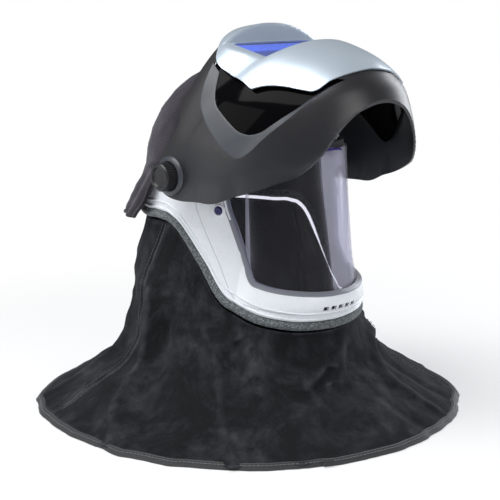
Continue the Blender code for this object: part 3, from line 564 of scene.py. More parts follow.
def gloss_black():
    """Polished black with faint smears and a little dust."""
    look = Look("polished_black")
    smear = look.noise(40, 5, 0.6)
    dust = look.map(look.noise(700, 3), 0.62, 0.78)
    base = look.mix(look.math("MULTIPLY", dust, 0.06), (0.0020, 0.0020, 0.0024), (0.05, 0.05, 0.06))
    look.set(Base_Color=base, Roughness=look.map(smear, 0.3, 0.75, 0.05, 0.13), IOR=1.12)
    return look.material


def clear_sheet(name, tint, haze, gloss=0.03, shine=1.0):
    """A clear moulded sheet: what is behind it shows, tinted, under a clean reflection."""
    look = Look(name)
    smudge = look.noise(30, 5, 0.6)
    see = look.node("ShaderNodeBsdfTransparent", {"Color": tint})
    look.set(Base_Color=look.mix(smudge, shade(tint, 0.9), tint),
             Roughness=look.map(smudge, 0.3, 0.8, gloss, gloss + 0.05))
    edge = look.node("ShaderNodeLayerWeight", {"Blend": 0.32}).outputs["Fresnel"]
    share = look.math("ADD", look.math("MULTIPLY", edge, shine), haze)
    share = look.math("ADD", share, look.math("MULTIPLY", look.map(smudge, 0.5, 0.8), 0.006))
    look.end_in_mix(look.math("MINIMUM", share, 1.0), see, look.shader)
    return look.material


def filter_glass():
    """Dark navy filter with a violet cast that shifts across it."""
    look = Look("navy_filter")
    drift = look.noise(16, 2)
    base = look.mix(drift, (0.004, 0.003, 0.030), (0.016, 0.004, 0.050))
    look.set(Base_Color=base, Roughness=look.map(look.noise(60, 4), 0.3, 0.7, 0.03, 0.08),
             Coat_Weight=1.0, Coat_Roughness=0.02, Coat_Tint=(0.35, 0.45, 1.0, 1.0))
    return look.material


def speckled_rubber(name, dark, pale, scale=420.0):
    """Cellular rubber: pale specks and pits on a grey ground."""
    look = Look(name)
    speck = look.cells(scale, "F1")
    fine = look.noise(scale * 1.7, 4, 0.7)
    share = look.math("MULTIPLY", look.map(speck, 0.15, 0.6), fine)
    base = look.mix(look.map(share, 0.05, 0.5), pale, dark)
    look.set(Base_Color=base, Roughness=0.88, Sheen_Weight=0.15, Sheen_Roughness=0.6)
    look.bump(look.math("ADD", speck, fine), 0.00018, 0.6)
    return look.material


def suede():
    """Black split leather: brushed nap in uneven patches, chalky where it folds."""
    look = Look("black_suede")
    patches = look.noise(15, 6, 0.62, distortion=0.6)
    brushed = look.noise(48, 7, 0.7, stretch=(1.0, 1.0, 0.35))
    nap = look.noise(900, 3, 0.7)
    blotch = look.math("MULTIPLY", look.map(patches, 0.42, 0.68), look.map(brushed, 0.36, 0.64))
    base = look.mix(look.math("MULTIPLY", blotch, 0.9), (0.0018, 0.0020, 0.0024),
                    (0.042, 0.045, 0.052))
    rub = look.math("MULTIPLY", look.pointiness(0.505, 0.54), look.map(brushed, 0.30, 0.62))
    base = look.mix(look.math("MULTIPLY", rub, 0.55), base, (0.080, 0.085, 0.098))
    base = look.mix(look.map(nap, 0.35, 0.75, 0.0, 0.35), base, (0.030, 0.032, 0.036))
    look.set(Base_Color=base, Roughness=0.92, Specular_IOR_Level=0.15, Sheen_Weight=0.04,
             Sheen_Roughness=0.55, Sheen_Tint=(0.70, 0.75, 0.85, 1.0))
    look.bump(brushed, 0.0012, 0.55)
    look.bump(nap, 0.00035, 0.7)
    creases = look.cells(85.0, "SMOOTH_F1")
    look.bump(look.map(creases, 0.0, 0.8), 0.0006, 0.25)
    return look.material


def napped_fabric():
    """Dark fabric with a raised nap, bobbled in places."""
    look = Look("napped_fabric")
    weave = look.cells(1150.0, "F1")
    fuzz = look.noise(1300, 3, 0.8)
    patch = look.noise(35, 5, 0.6)
    base = look.mix(look.map(patch, 0.35, 0.7), (0.0095, 0.0085, 0.0115), (0.0210, 0.0190, 0.0245))
    base = look.mix(look.map(fuzz, 0.45, 0.8, 0.0, 0.7), base, (0.048, 0.044, 0.054))
    look.set(Base_Color=base, Roughness=0.95, Specular_IOR_Level=0.1, Sheen_Weight=0.35,
             Sheen_Roughness=0.45, Sheen_Tint=(0.8, 0.76, 0.86, 1.0))
    look.bump(fuzz, 0.0007, 0.8)
    look.bump(weave, 0.00025, 0.5)
    look.bump(patch, 0.0015, 0.3)
    return look.material


def webbing(name, colour):
    """Bound tape: fine ribs with a thread sheen."""
    look = Look(name)
    ribs = look.noise(1400, 2, 0.6, stretch=(1.0, 1.0, 0.2))
    base = look.mix(look.map(ribs, 0.4, 0.7), shade(colour, 0.6), shade(colour, 1.6))
    look.set(Base_Color=base, Roughness=0.7, Sheen_Weight=0.2)
    look.bump(ribs, 0.0003, 0.7)
    return look.material


def thread(name, colour):
    look = Look(name)
    twist = look.noise(2500, 2, 0.5, stretch=(1, 1, 0.4))
    look.set(Base_Color=look.mix(twist, shade(colour, 0.5), colour), Roughness=0.6,
             Sheen_Weight=0.3)
    look.bump(twist, 0.0001, 0.6)
    return look.material


def foam(name, colour):
    look = Look(name)
    cells = look.cells(900.0, "F1")
    base = look.mix(look.map(cells, 0.1, 0.6), shade(colour, 1.5), shade(colour, 0.6))
    look.set(Base_Color=base, Roughness=0.9, Sheen_Weight=0.25)
    look.bump(cells, 0.0003, 0.6)
    return look.material


def turned_steel():
    look = Look("turned_steel")
    lines = look.noise(1800, 2, 0.5, stretch=(6.0, 0.6, 0.6))
    look.set(Base_Color=look.mix(lines, (0.42, 0.43, 0.45), (0.62, 0.63, 0.65)), Metallic=1.0,
             Roughness=look.map(lines, 0.3, 0.7, 0.22, 0.38))
    look.bump(lines, 0.00002, 0.5)
    return look.material


MAT = {
    "shield": shield_plastic(),
    # the bevel is the shield's black moulding, painted a paler slate grey as painted light on its
    # slope
    "bevel": moulded("bevel_painted_light", (0.034, 0.039, 0.048), 0.42, wear=0.3),
    "silver": silver_lacquer(),
    "gloss": gloss_black(),
    "white": moulded("satin_white", (0.76, 0.79, 0.83), 0.30, depth=0.00001, spread=0.015,
                     wear=0.0, Coat_Weight=0.15, Coat_Roughness=0.2),
    # the lining is painted near black and barely reflects: painted shade inside the helmet, darker
    # than its grey moulding
    "lining": moulded("lining_painted_shade", (0.003, 0.003, 0.004), 0.95, depth=0.000005, spread=0.02,
                      wear=0.0, Specular_IOR_Level=0.1),
    # the ledge is white moulding like the frame, painted grey as painted shade in the step
    "ledge": moulded("ledge_painted_shade", (0.20, 0.21, 0.24), 0.35, spread=0.02, wear=0.0),
    "visor": clear_sheet("clear_visor_sheet", (0.90, 0.90, 0.96), 0.0, shine=0.45),
    "cover": clear_sheet("blue_cover_sheet", (0.74, 0.80, 1.0), 0.0, shine=0.15),
    "tab": clear_sheet("violet_tab", (0.30, 0.24, 0.62), 0.10),
    "filter": filter_glass(),
    # the filter's surround is a black frame painted blue: a painted reflection
    "case": moulded("case_painted_blue_reflection", (0.16, 0.27, 0.70), 0.3, wear=0.1, Coat_Weight=0.5),
    "case_dark": moulded("dark_case", (0.012, 0.012, 0.016), 0.45),
    "cell": moulded("solar_cell_face", (0.006, 0.007, 0.022), 0.22, grain=120, depth=0.00002),
    "knob": moulded("knob_black", (0.011, 0.011, 0.013), 0.36, wear=0.6),
    "flange": moulded("flange_grey", (0.040, 0.045, 0.055), 0.34, wear=0.5),
    "pin": moulded("pin_blue", (0.012, 0.010, 0.085), 0.3, wear=0.3),
    "gasket": speckled_rubber("gasket_rubber", (0.055, 0.064, 0.070), (0.19, 0.215, 0.225)),
    "seal": speckled_rubber("black_seal", (0.008, 0.008, 0.009), (0.03, 0.03, 0.032), 800.0),
    "suede": suede(),
    "fabric": napped_fabric(),
    "tape": webbing("hem_tape", (0.016, 0.0165, 0.0190)),
    "thread": thread("grey_thread", (0.16, 0.17, 0.19)),
    "dark_thread": thread("dark_thread", (0.045, 0.046, 0.052)),
    "band": moulded("band_moulding", (0.035, 0.036, 0.040), 0.5),
    "foam": foam("pad_fabric", (0.035, 0.036, 0.040)),
    "duct": moulded("duct_moulding", (0.10, 0.105, 0.115), 0.5),
    "inlet": moulded("inlet_moulding", (0.055, 0.058, 0.064), 0.42, wear=0.4),
    "button": moulded("button_grey", (0.13, 0.14, 0.155), 0.5),
    "steel": turned_steel(),
}


def dress_cad_nodes():
    """A material for every CAD node, those that a piece replaces included."""
    looks = {
        "shield_shell": "shield", "front_panel": "silver", "side_window": "gloss",
        "pivot_ring": "flange", "outer_cover": "cover", "inner_cover": "cover",
        "filter_cassette": "case_dark", "filter_glass": "filter", "solar_cell": "cell",
        "battery_holder": "case_dark", "pivot_knob": "knob", "ratchet_knob": "knob",
        "pivot_post": "steel", "friction_washer": "seal", "helmet_shell": "white",
        "visor_frame": "white", "visor_lens": "visor", "visor_tab": "tab", "visor_pin": "pin",
        "exhaust_flap": "seal", "edge_gasket": "gasket", "brow_seal": "seal",
        "head_cover": "fabric", "air_inlet": "inlet", "inlet_seal": "seal", "air_duct": "duct",
        "air_deflector": "duct", "headband": "band", "crown_strap": "band",
        "ratchet_housing": "band", "sweatband": "foam", "nape_pad": "foam", "shroud": "suede",
        "hem": "tape",
    }
    for name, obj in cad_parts.items():
        look = next((looks[k] for k in looks if name.startswith(k)), "button")
        obj.data.materials.clear()
        obj.data.materials.append(MAT[look])


# ---- Shield ----
def recess_radius(turn):
    """The radius of the hollow round the lens: an upright floor, a steep brow, a gentler chin."""
    if not FLOOR_LOW - 12 < turn < FLOOR_TOP + 12:
        return 1.0
    a = radians(turn)
    floor = LENS_PLANE / max(0.05, cos(a))
    brow = (LENS_PLANE - BROW_SLOPE * LENS_TOP) / max(0.05, cos(a) - BROW_SLOPE * sin(a))
    chin = (LENS_PLANE + CHIN_SLOPE * LENS_BOTTOM) / max(0.05, cos(a) + CHIN_SLOPE * sin(a))
    return smooth_max(smooth_max(floor, brow, BROW_CREASE), chin, CREASE)


def squared(share):
    """Where a squared quarter circle of size 1 stands, at a share of its width."""
    return max(0.0, 1 - share ** SHIELD_SQUARENESS) ** (1 / SHIELD_SQUARENESS)


def shield_point(turn, x, out=0.0):
    """The point of the shield's outer face at an angle round the axis and a place across it."""
    share = min(1.0, abs(x) / SHIELD_HALF_WIDTH)
    floor = recess_radius(turn) - 0.12 * x * x
    reach = smooth_min(follow(SHIELD_PROFILE, turn) * squared(share), floor, CREASE)
    reach += out if share < 0.985 else 0.0
    side = 1 if x > 0 else -1
    flat = smooth_min(abs(x) + out * share ** 2, PLATE_X + out, CREASE)
    return Vector((side * flat, -reach * cos(radians(turn)), reach * sin(radians(turn))))


def side_place(f, z, out=0.0, side=-1):
    """The point of the outer face that a side view shows at (f, z), moved out along the normal."""
    def width(ff, zz):
        ratio = min(1.0, hypot(ff, zz) / follow(SHIELD_PROFILE, degrees(atan2(zz, ff))))
        return smooth_min(SHIELD_HALF_WIDTH * squared(ratio), PLATE_X, CREASE)

    step = 0.0015
    df = (width(f + step, z) - width(f - step, z)) / (2 * step)
    dz = (width(f, z + step) - width(f, z - step)) / (2 * step)
    spot = Vector((width(f, z), -f, z)) + Vector((1, df, -dz)).normalized() * out
    return Vector((side * spot.x, spot.y, spot.z))


def shield_stations(steps):
    """Places across half the shield, evenly spread along its squared section."""
    return [SHIELD_HALF_WIDTH * sin(pi / 2 * k / steps) ** (2 / SHIELD_SQUARENESS)
            for k in range(steps + 1)]


def shield_turns(low, high, step):
    """Angles from low to high, closer together round the recess's creases."""
    turns, t = [], low
    while t < high:
        turns.append(t)
        near = min(abs(t - c) for c in (FLOOR_LOW, FLOOR_TOP, -25, 3, 9))
        t += step * (0.3 if near < 1.6 else 0.6 if near < 4 else 1.0)
    return turns + [high]


def outline_gap(points, outline):
    """How far each (f, z) point is from an open polyline."""
    p = np.array(points)
    best = np.full(len(p), 9.0)
    for a, b in zip(outline, outline[1:]):
        a, b = np.array(a), np.array(b)
        d = b - a
        t = np.clip(((p - a) @ d) / max(d @ d, 1e-12), 0, 1)
        best = np.minimum(best, np.linalg.norm(p - a - t[:, None] * d, axis=1))
    return best


def shield_skin(out=0.0, step=1.0, steps=44, roll=True):
    """The shield's outer face as rows of points, its lower lip rolled inwards."""
    across = shield_stations(steps)
    xs = [-x for x in across[:0:-1]] + across
    turns = shield_turns(-72, 70, step) + [80, 100, 125, 155, 180, 215, 250, 275, 288]
    rows = [[shield_point(t if t <= 180 else t - 360, x, out) for x in xs] for t in turns]
    if roll:
        lip = [tuple(p) for p in curved(SHIELD_EDGE[:12])]
        flat = [(-p.y, p.z) for row in rows for p in row]
        gaps = iter(outline_gap(flat, lip))
        for row in rows:
            for i, p in enumerate(row):
                share = max(0.0, 1 - next(gaps) / ROLL_WIDTH)
                chin = ease((-p.y - 0.12) / 0.07)
                side = min(1.0, max(-1.0, p.x / 0.05)) * (1 - chin)
                depth = ROLL_DEPTH * (1 - sqrt(max(0.0, 1 - share ** 2)))
                row[i] = p - Vector((side, -chin, 0)) * depth
    return rows


def window_region(grow=0.0):
    """Side view of a black window with its bevel, closed under the silver panel."""
    outline = rounded(BEVEL_EDGE, 3, 0.2, closed=False) + [Vector(p) for p in WINDOW_UNDER]
    centre = sum(outline, Vector((0, 0))) / len(outline)
    return [(-p[0], p[1]) for p in (p + (p - centre).normalized() * grow for p in outline)]


def shield_piece(name, bm, look, replaces=(), **more):
    """A piece of the shield, drawn as it stands when shut and turned up to its rest."""
    return new_piece(name, bm, look, "shield", replaces, transform=SHIELD_REST, **more)


def oblong(half, low, high):
    return [(-half, low), (half, low), (half, high), (-half, high)]


def make_shield_shell():
    shell = shield_piece("shield_moulding", grid_mesh(shield_skin(), (0, 0, 0)), "shield",
                         ("shield_shell",))
    wall(shell, SKIN["shield"])
    outline = [(-p[0], p[1]) for p in curved(SHIELD_EDGE)] + [(-0.29, 0.060), (-0.29, -0.1893)]
    cut(shell, prism_mesh(outline), "INTERSECT", SHIELD_REST)
    for low, high in ((-FAR, -0.02), (0.02, FAR)):
        cut(shell, prism_mesh(window_region(), low, high), transform=SHIELD_REST)
    hole = box_mesh((-0.0652, -0.172, LENS_BOTTOM + 0.0033), (0.0652, -0.120, LENS_TOP - 0.0042))
    cut(shell, hole, transform=SHIELD_REST)
    cut(shell, rod_mesh(-FAR, FAR, 0.0066, 40), transform=SHIELD_REST)
    soften(shell, 0.0008, 2, 50)


def make_window_bevel(name, side):
    """The band that slopes from the shell down to the black window, moulded in the shield's black
    but painted slate grey as the light on its slope, and the window.
    """
    count, steps = 90, 8
    outer = along(rounded(BEVEL_EDGE, 3, 0.2, closed=False), count)
    inner = along(rounded(WINDOW_EDGE, 3, 0.2, closed=False), count)
    rows = []
    for t in spread(0, 1, steps):
        depth = 0.0002 - 0.0040 * t ** 0.85
        rows.append([side_place(*(a.lerp(b, t)), depth, side) for a, b in zip(outer, inner)])
    bevel = shield_piece(f"window_bevel_{name}", grid_mesh(rows, (0, 0, 0)), "bevel", sharp=60,
                         slot="shield_black")
    wall(bevel, SKIN["bevel"])
    soften(bevel, 0.0004, 2, 50)
    skin = shield_skin(-WINDOW_DEPTH, 2.0, 24, roll=False)
    window = shield_piece(f"gloss_window_{name}", grid_mesh(skin, (0, 0, 0)), "gloss",
                          (f"side_window_{name}",))
    wall(window, SKIN["window"])
    span = sorted((side * 0.02, side * FAR))
    cut(window, prism_mesh(window_region(0.001), *span), "INTERSECT", SHIELD_REST)


def make_front_panel():
    """The silver panel, from the brow to the cheek on each side, with the hole for the lens."""
    wide = PANEL_TOP[-1][0]
    xs = [wide * (1 - (1 - share) ** 1.35) for share in spread(0, 1, 60)]
    rows = []
    for x in [-x for x in xs[:0:-1]] + xs:
        top, low = follow(PANEL_TOP, abs(x)), follow(PANEL_LOW, abs(x))
        turns = [min(max(t, low), top) for t in shield_turns(-52, 16, 0.8)]
        rows.append([shield_point(t, x, 0.0006) for t in [low] + turns + [top]])
    panel = shield_piece("silver_panel", grid_mesh(rows, (0, 0, 0)), "silver", ("front_panel",))
    wall(panel, SKIN["panel"], outward=True)
    corners = rounded(oblong(LENS_HALF, LENS_BOTTOM + 0.002, LENS_TOP - 0.003), 3, 0.06)
    hole = ring_mesh([[(p.x, y, p.y) for p in corners] for y in (-0.20, -0.12)], caps=True)
    cut(panel, hole, transform=SHIELD_REST)
    soften(panel, 0.0008, 3, 45)


def make_lens_frame():
    """The filter's surround, a black frame painted pale blue as the reflection seen on it, nearly
    level with the panel, the filter and its cover.
    """
    for name, node, look, low, high in (
            ("filter_plate", "filter_glass", "filter", (-0.0500, -0.1492, -0.0519),
             (0.0500, -0.1470, -0.0141)),
            ("front_cover_plate", "outer_cover_plate", "cover", (-0.0648, -0.1552, -0.0593),
             (0.0648, -0.1543, 0.0014))):
        soften(shield_piece(name, box_mesh(low, high), look, (node,)), 0.0003)
    outer, inner = oblong(0.0650, -0.0595, 0.0016), oblong(0.0496, -0.0515, -0.0145)
    middle = (LENS_TOP + LENS_BOTTOM) / 2
    rings = []
    for corners, y, grow in ((outer, -0.1466, 0.0), (outer, -0.1534, 0.0),
                             (outer, -0.1536, -0.0006), (inner, -0.1505, 0.0008),
                             (inner, -0.1498, 0.0), (inner, -0.1466, 0.0)):
        rings.append([(p.x + (grow if p.x > 0 else -grow), y,
                       p.y + (grow if p.y > middle else -grow)) for p in rounded(corners, 3, 0.05)])
    shield_piece("filter_surround", ring_mesh(rings, closed=True), "case", ("filter_cassette",),
                 sharp=25, slot="knob_black")


def make_rings():
    """The raised flange round each knob, and the knobs themselves."""
    flange = rounded_profile(((0.1350, 0.0172), (0.1386, 0.0172), (0.1394, 0.0182),
                              (0.1388, 0.0212), (0.1368, 0.0236), (0.1350, 0.0240)), 0.0008)
    knob = rounded_profile((
        (0.1515, 0.0), (0.1515, 0.0112), (0.1540, 0.0122), (0.1540, 0.0148),
        (0.1522, 0.0168), (0.1478, 0.0168), (0.1430, 0.0168), (0.1368, 0.0168),
        (0.1362, 0.0158), (0.1362, 0.0064), (0.1502, 0.0064), (0.1502, 0.0)), 0.0007)

    def ribbed(angle, a, r):
        wave = 0.5 + 0.5 * cos(36 * angle)
        edge = 1.0 if 0.1372 < abs(a) < 0.1520 and r > 0.0158 else 0.0
        return r - 0.0009 * edge * (1 - wave) ** 2

    for name, side in SIDES:
        shield_piece(f"knob_flange_{name}", turned_mesh([(side * a, r) for a, r in flange], 96),
                     "flange", (f"pivot_ring_{name}",))
        bm = turned_mesh([(side * a, r) for a, r in knob], 288, ribbed)
        new_piece(f"ribbed_knob_{name}", bm, "knob", f"knob_{name}", (f"pivot_knob_{name}",),
                  transform=PIVOT)


# ---- Helmet and visor ----
def plan_point(station, front, half, side_half, rear):
    """A point of a level section, for a station from 0 in front to 1 behind."""
    if station <= FRONT_END:
        t = pi / 2 * station / FRONT_END
        return half * sin(t), CORNER_Y + (-front - CORNER_Y) * cos(t)
    if station <= SIDE_END:
        t = (station - FRONT_END) / (SIDE_END - FRONT_END)
        swell = sin(pi / 2 * t) ** 0.7
        return half + (side_half - half) * swell, CORNER_Y + (WIDE_Y - CORNER_Y) * t
    t = pi / 2 * (station - SIDE_END) / (1 - SIDE_END)
    return side_half * cos(t) ** 0.92, WIDE_Y + (rear - WIDE_Y) * sin(t) ** 0.92


def shell_point(station, z, rise=0.0, out=0.0, front=FACE_FRONT):
    """A point of the helmet's outer face: rise is the angle up the dome, in degrees."""
    held = min(z, PIVOT_Z)
    half = follow(((0.150, CHIN_HALF), (0.190, VISOR_HALF)), held)
    x, y = plan_point(abs(station), follow(front, z) + out, half + out,
                      follow(SIDE_HALF, held) + out, follow(REAR_REACH, z) + out)
    shrink = cos(radians(rise))
    z = z + (DOME_RISE + out) * sin(radians(rise))
    return Vector((x * shrink * (1 if station >= 0 else -1), y * shrink, z))


def tucked(p):
    """A point of the helmet drawn in at the brow and the temples, where the visor swings past."""
    f, z = PIVOT_Y - p.y, p.z - PIVOT_Z
    angle, reach = degrees(atan2(z, f)), hypot(f, z)
    share = ease((angle + 22) / 16) * ease((64 - angle) / 14) * ease((reach - 0.006) / 0.010)
    away = Vector((p.x / 0.108 ** 2, p.y / 0.134 ** 2, z / DOME_RISE ** 2)).normalized()
    return p - away * share * (TUCK + TUCK_SIDE * abs(away.x))


def rim_point(station, up=0.0, out=0.0):
    """A point of the helmet's outer face near its lower edge."""
    return shell_point(station, follow(LOWER_EDGE, abs(station)) + GASKET_RISE + up, out=out)


def dome_rows(around, out, low_rows=22):
    """The helmet's face from its lower edge over the dome, as rows of points."""
    edges = [follow(LOWER_EDGE, abs(s)) + GASKET_RISE for s in around]
    rows = [[tucked(shell_point(s, low + (PIVOT_Z - low) * share, out=out))
             for s, low in zip(around, edges)] for share in spread(0, 1, low_rows)]
    for rise in range(4, 88, 4):
        rows.append([tucked(shell_point(s, PIVOT_Z, rise, out)) for s in around])
    rows.append([Vector((0, 0, PIVOT_Z + DOME_RISE + out))] * len(around))
    return rows


def inlet_frame():
    """Where the air inlet leaves the helmet, its own X axis along the pipe."""
    down = radians(30)
    rear = follow(REAR_REACH, INLET_Z) * sqrt(1 - ((INLET_Z - PIVOT_Z) / DOME_RISE) ** 2)
    facing = Vector((0, cos(down), -sin(down))).to_track_quat("X", "Z")
    return Matrix.LocRotScale(Vector((0, rear, INLET_Z)), facing, None)


def seam_outline(grow):
    """The side view of the face opening, with a gap between helmet and visor."""
    pts = curved(SEAM[1:-1], 6)
    pts = [Vector(SEAM[0])] + pts + [Vector(SEAM[-1])]
    middle = Vector((-0.2, 0.235))
    return [p + (p - middle).normalized() * grow for p in pts]


def make_helmet():
    """The white shell, the lining inside it, painted near black as the shade inside the helmet, and
    the two beads along its jaw.
    """
    around = spread(-1, 1, 220)[:-1]
    inside = (0, 0, 0.3)
    shell = new_piece("white_helmet", grid_mesh(dome_rows(around, 0.0), inside, wrap=True),
                      "white", "helmet", ("helmet_shell",))
    wall(shell, SKIN["helmet"])
    rows = dome_rows(spread(-1, 1, 100)[:-1], -0.0036, 10)
    lining = new_piece("helmet_lining", grid_mesh(rows, inside, wrap=True), "lining", "helmet",
                       slot="band_grey")
    wall(lining, SKIN["lining"])
    for obj in (shell, lining):
        cut(obj, prism_mesh(seam_outline(0.0)))
        cut(obj, rod_mesh(-0.03, 0.03, INLET_HOLE), transform=inlet_frame())
    soften(shell, 0.0007, 2, 50)
    for name, up, out, radius in (("upper", 0.0105, 0.0001, 0.0012),
                                  ("lower", 0.0028, 0.0003, 0.0016)):
        loop = tube_rings([rim_point(s, up, out) for s in around], radius, 10, closed=True)
        new_piece(f"jaw_bead_{name}", ring_mesh(loop, closed=True), "white", "helmet",
                  slot="helmet_white")


def edge_station(y, z):
    """The station at which the visor's frame has a given y, at a height."""
    return bisect(lambda s: shell_point(s, z, front=VISOR_FRONT).y < y, 0.0, 0.6, 26)


def view_loop():
    """The edge of the hole in the visor's frame, as (station, height), from one top to the
    other."""
    edge = [(p.x, p.y) for p in curved(VIEW[1:-1], 10)]
    side = [(edge_station(y, z), z) for y, z in edge if z < LEDGE_TOP]
    low = VIEW[0][1]
    half = [(s, low) for s in spread(0.0, side[0][0], 14)[1:-1]] + side
    return [(-s, z) for s, z in half[::-1]] + [(0.0, low)] + half


VIEW_OUTLINE = [VIEW[0]] + [tuple(p) for p in curved(VIEW[1:-1], 8)] + [VIEW[-1]]


def visor_rows(stations, heights, out=0.0):
    """Rows of points on the visor's face."""
    return [[shell_point(s, z, out=out, front=VISOR_FRONT) for s in stations] for z in heights]


def make_visor_frame():
    """The white frame, with its view cut out and five slots in its chin."""
    rows = visor_rows(spread(-0.47, 0.47, 150), spread(0.128, 0.334, 56))
    white = new_piece("white_visor_frame", grid_mesh(rows, (0, 0, 0.25)), "white", "visor",
                      ("visor_frame",))
    wall(white, SKIN["frame"])
    cut(white, prism_mesh(seam_outline(-0.0008)), "INTERSECT")
    cut(white, prism_mesh(VIEW_OUTLINE))
    for k in range(-2, 3):
        x = 0.011 * k
        cut(white, box_mesh((x - 0.0036, -FAR, 0.1410), (x + 0.0036, -0.13, 0.1458)))
    soften(white, 0.0007, 2, 50)


def make_view_ledge():
    """The step that leads from the frame's edge down to the clear sheet: white moulding like the
    frame, painted grey as the shade in the step.
    """
    loop = view_loop()
    rows = []
    for t in spread(0, 1, 6):
        row = []
        for s, z in loop:
            base, inner = (shell_point(s, z, out=out, front=VISOR_FRONT)
                           for out in (0.0006, -0.0050))
            toward = (Vector((0, inner.y, 0.245)) - inner).normalized()
            row.append(base.lerp(inner, t ** 1.3) + toward * 0.0052 * t)
        rows.append(row)
    ledge = new_piece("view_ledge", grid_mesh(rows, (0, -0.05, 0.24)), "ledge", "visor",
                      sharp=60, slot="helmet_white")
    wall(ledge, SKIN["ledge"])


def make_visor_sheet():
    """The clear sheet, reaching a little behind the frame all round."""
    rows = visor_rows(spread(-0.40, 0.40, 110), spread(0.149, 0.326, 46), -0.0056)
    sheet = new_piece("curved_visor", grid_mesh(rows, (0, 0, 0.25)), "visor", "visor",
                      ("visor_lens",))
    wall(sheet, SKIN["sheet"])
    middle = Vector((-0.2, 0.245))
    edge = [Vector(p) + (Vector(p) - middle).normalized() * 0.0052 for p in VIEW_OUTLINE]
    cut(sheet, prism_mesh(edge), "INTERSECT")


def make_arm(name, side):
    """The arm that carries the visor's frame on the pivot post."""
    near, far = 0.1125, 0.1155
    top, low, front, rear = 0.3085, 0.2875, -0.050, -0.026
    outline = [(front, low), (rear, low + 0.001), (rear, top - 0.001), (front, top)]
    plate = prism_mesh(rounded(outline, 2, 0.2), *sorted((side * near, side * far)))
    arm = new_piece(f"visor_arm_{name}", plate, "white", "visor", slot="helmet_white")
    ring = turned_mesh([(side * a, r) for a, r in ((near, 0.0144), (far, 0.0144), (far, 0.022),
                                                   (near, 0.022))], 64)
    cut(arm, ring, "UNION", PIVOT)
    block = sorted((side * 0.0955, side * far))
    cut(arm, box_mesh((block[0], -0.0495, 0.291), (block[1], -0.037, 0.306)), "UNION")
    soften(arm, 0.0006)


def make_visor_tab():
    """The violet tab that the wearer lifts the visor by."""
    low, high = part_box("visor_tab")
    rows = []
    for k in range(17):
        t = k / 16
        x = low.x + (high.x - low.x) * t
        bow = 0.0045 * (1 - (2 * t - 1) ** 2)
        y_front, y_rear = low.y - 0.001 - bow, high.y
        z = high.z - 0.0008 + 0.002 * (1 - (2 * t - 1) ** 2)
        rows.append([Vector((x, y_rear, z - 0.0004)), Vector((x, (y_front + y_rear) / 2, z)),
                     Vector((x, y_front, z - 0.0004)), Vector((x, y_front - 0.0006, z - 0.0030))])
    tab = new_piece("lifting_tab", grid_mesh(rows, (0, low.y, 0)), "tab", "visor",
                    ("visor_tab",), sharp=60)
    wall(tab, SKIN["tab"])
    soften(tab, 0.0004, 2, 50)


def make_pin(name, side):
    """The blue pin in the visor's upper corner, with its white collar."""
    base = shell_point(side * PIN_STATION, PIN_HEIGHT, out=0.0016, front=VISOR_FRONT)
    facing = Vector((side, -0.42, 0)).to_track_quat("X", "Z")
    place = Matrix.LocRotScale(base, facing, None)
    pin = ((0, 0), (0.0024, 0), (0.0030, 0.0030), (0.0026, 0.0048), (0, 0.0052))
    turned_piece(f"blue_pin_{name}", pin, 0.0006, 40, "pin", "visor", (f"visor_pin_{name}",),
                 transform=place)
    ring = ((-0.0016, 0.0054), (0.0018, 0.0054), (0.0020, 0.0066), (-0.0016, 0.0082))
    turned_piece(f"pin_collar_{name}", ring, 0.0005, 48, "white", "visor", transform=place,
                 slot="helmet_white")


def edge_down(station):
    """The helmet's lower edge at a station, and the way from it that leads straight off it."""
    here, before, after = (rim_point(s, out=-0.0015) for s in (
        station, max(-1.0, station - 0.005), min(1.0, station + 0.005)))
    down = level(here).cross(after - before).normalized()
    return here, down if down.z < 0 else -down


def below_edge(station, drop, inset):
    """A point below the helmet's lower edge and a little inside it."""
    here, down = edge_down(station)
    return here + down * drop - level(here) * inset


GROOVE_TURN, GROOVE_SPREAD, GROOVE_DEPTH = 128, 13, 0.0011


def make_gasket():
    """The soft edge strip: a fat lower roll and a thin upper one, with a groove between."""
    count, sides = 300, 28
    rings = []
    for i in range(count):
        here, down = edge_down(-1 + 2 * i / count)
        outward = level(here)
        outward = (outward - down * outward.dot(down)).normalized()
        centre = here + down * (GASKET_RADIUS + 0.0008)
        ripple = 0.00012 * sin(i * 2.4) + 0.00010 * sin(i * 5.1 + 1)
        ring = []
        for k in range(sides):
            a = 2 * pi * k / sides
            groove = GROOVE_DEPTH * exp(-((degrees(a) - GROOVE_TURN) / GROOVE_SPREAD) ** 2)
            r = GASKET_RADIUS + 0.0002 - groove + ripple
            ring.append(centre + outward * r * sin(a) * 0.92 + down * r * cos(a))
        rings.append(ring)
    new_piece("ribbed_gasket", ring_mesh(rings, closed=True), "gasket", "helmet",
              ("edge_gasket",))


# ---- Fabric and leather ----
def wrinkle(p, scale, seed=0.0):
    return noise.noise(Vector((p[0] * scale + seed, p[1] * scale, p[2] * scale)))


COVER_HALF = 64                           # columns of the cover on each side
COVER_EDGE = ((0.232, 0.70), (0.250, 0.665), (0.279, 0.645), (0.296, 0.61))
COVER_FALL = ((0.2325, 0.0185), (0.246, 0.0170), (0.262, 0.0135), (0.279, 0.0100),
              (0.296, 0.0074))            # height, how far the cover stands off there
COVER_DOME_EDGE = ((0, 0.56), (15, 0.47), (30, 0.40), (45, 0.34), (60, 0.27), (75, 0.14),
                   (90, 0.0))             # angle up the dome, station of the cover's edge
COVER_DOME_OUT = ((0, 0.0070), (15, 0.0058), (30, 0.0050), (76, 0.0048))


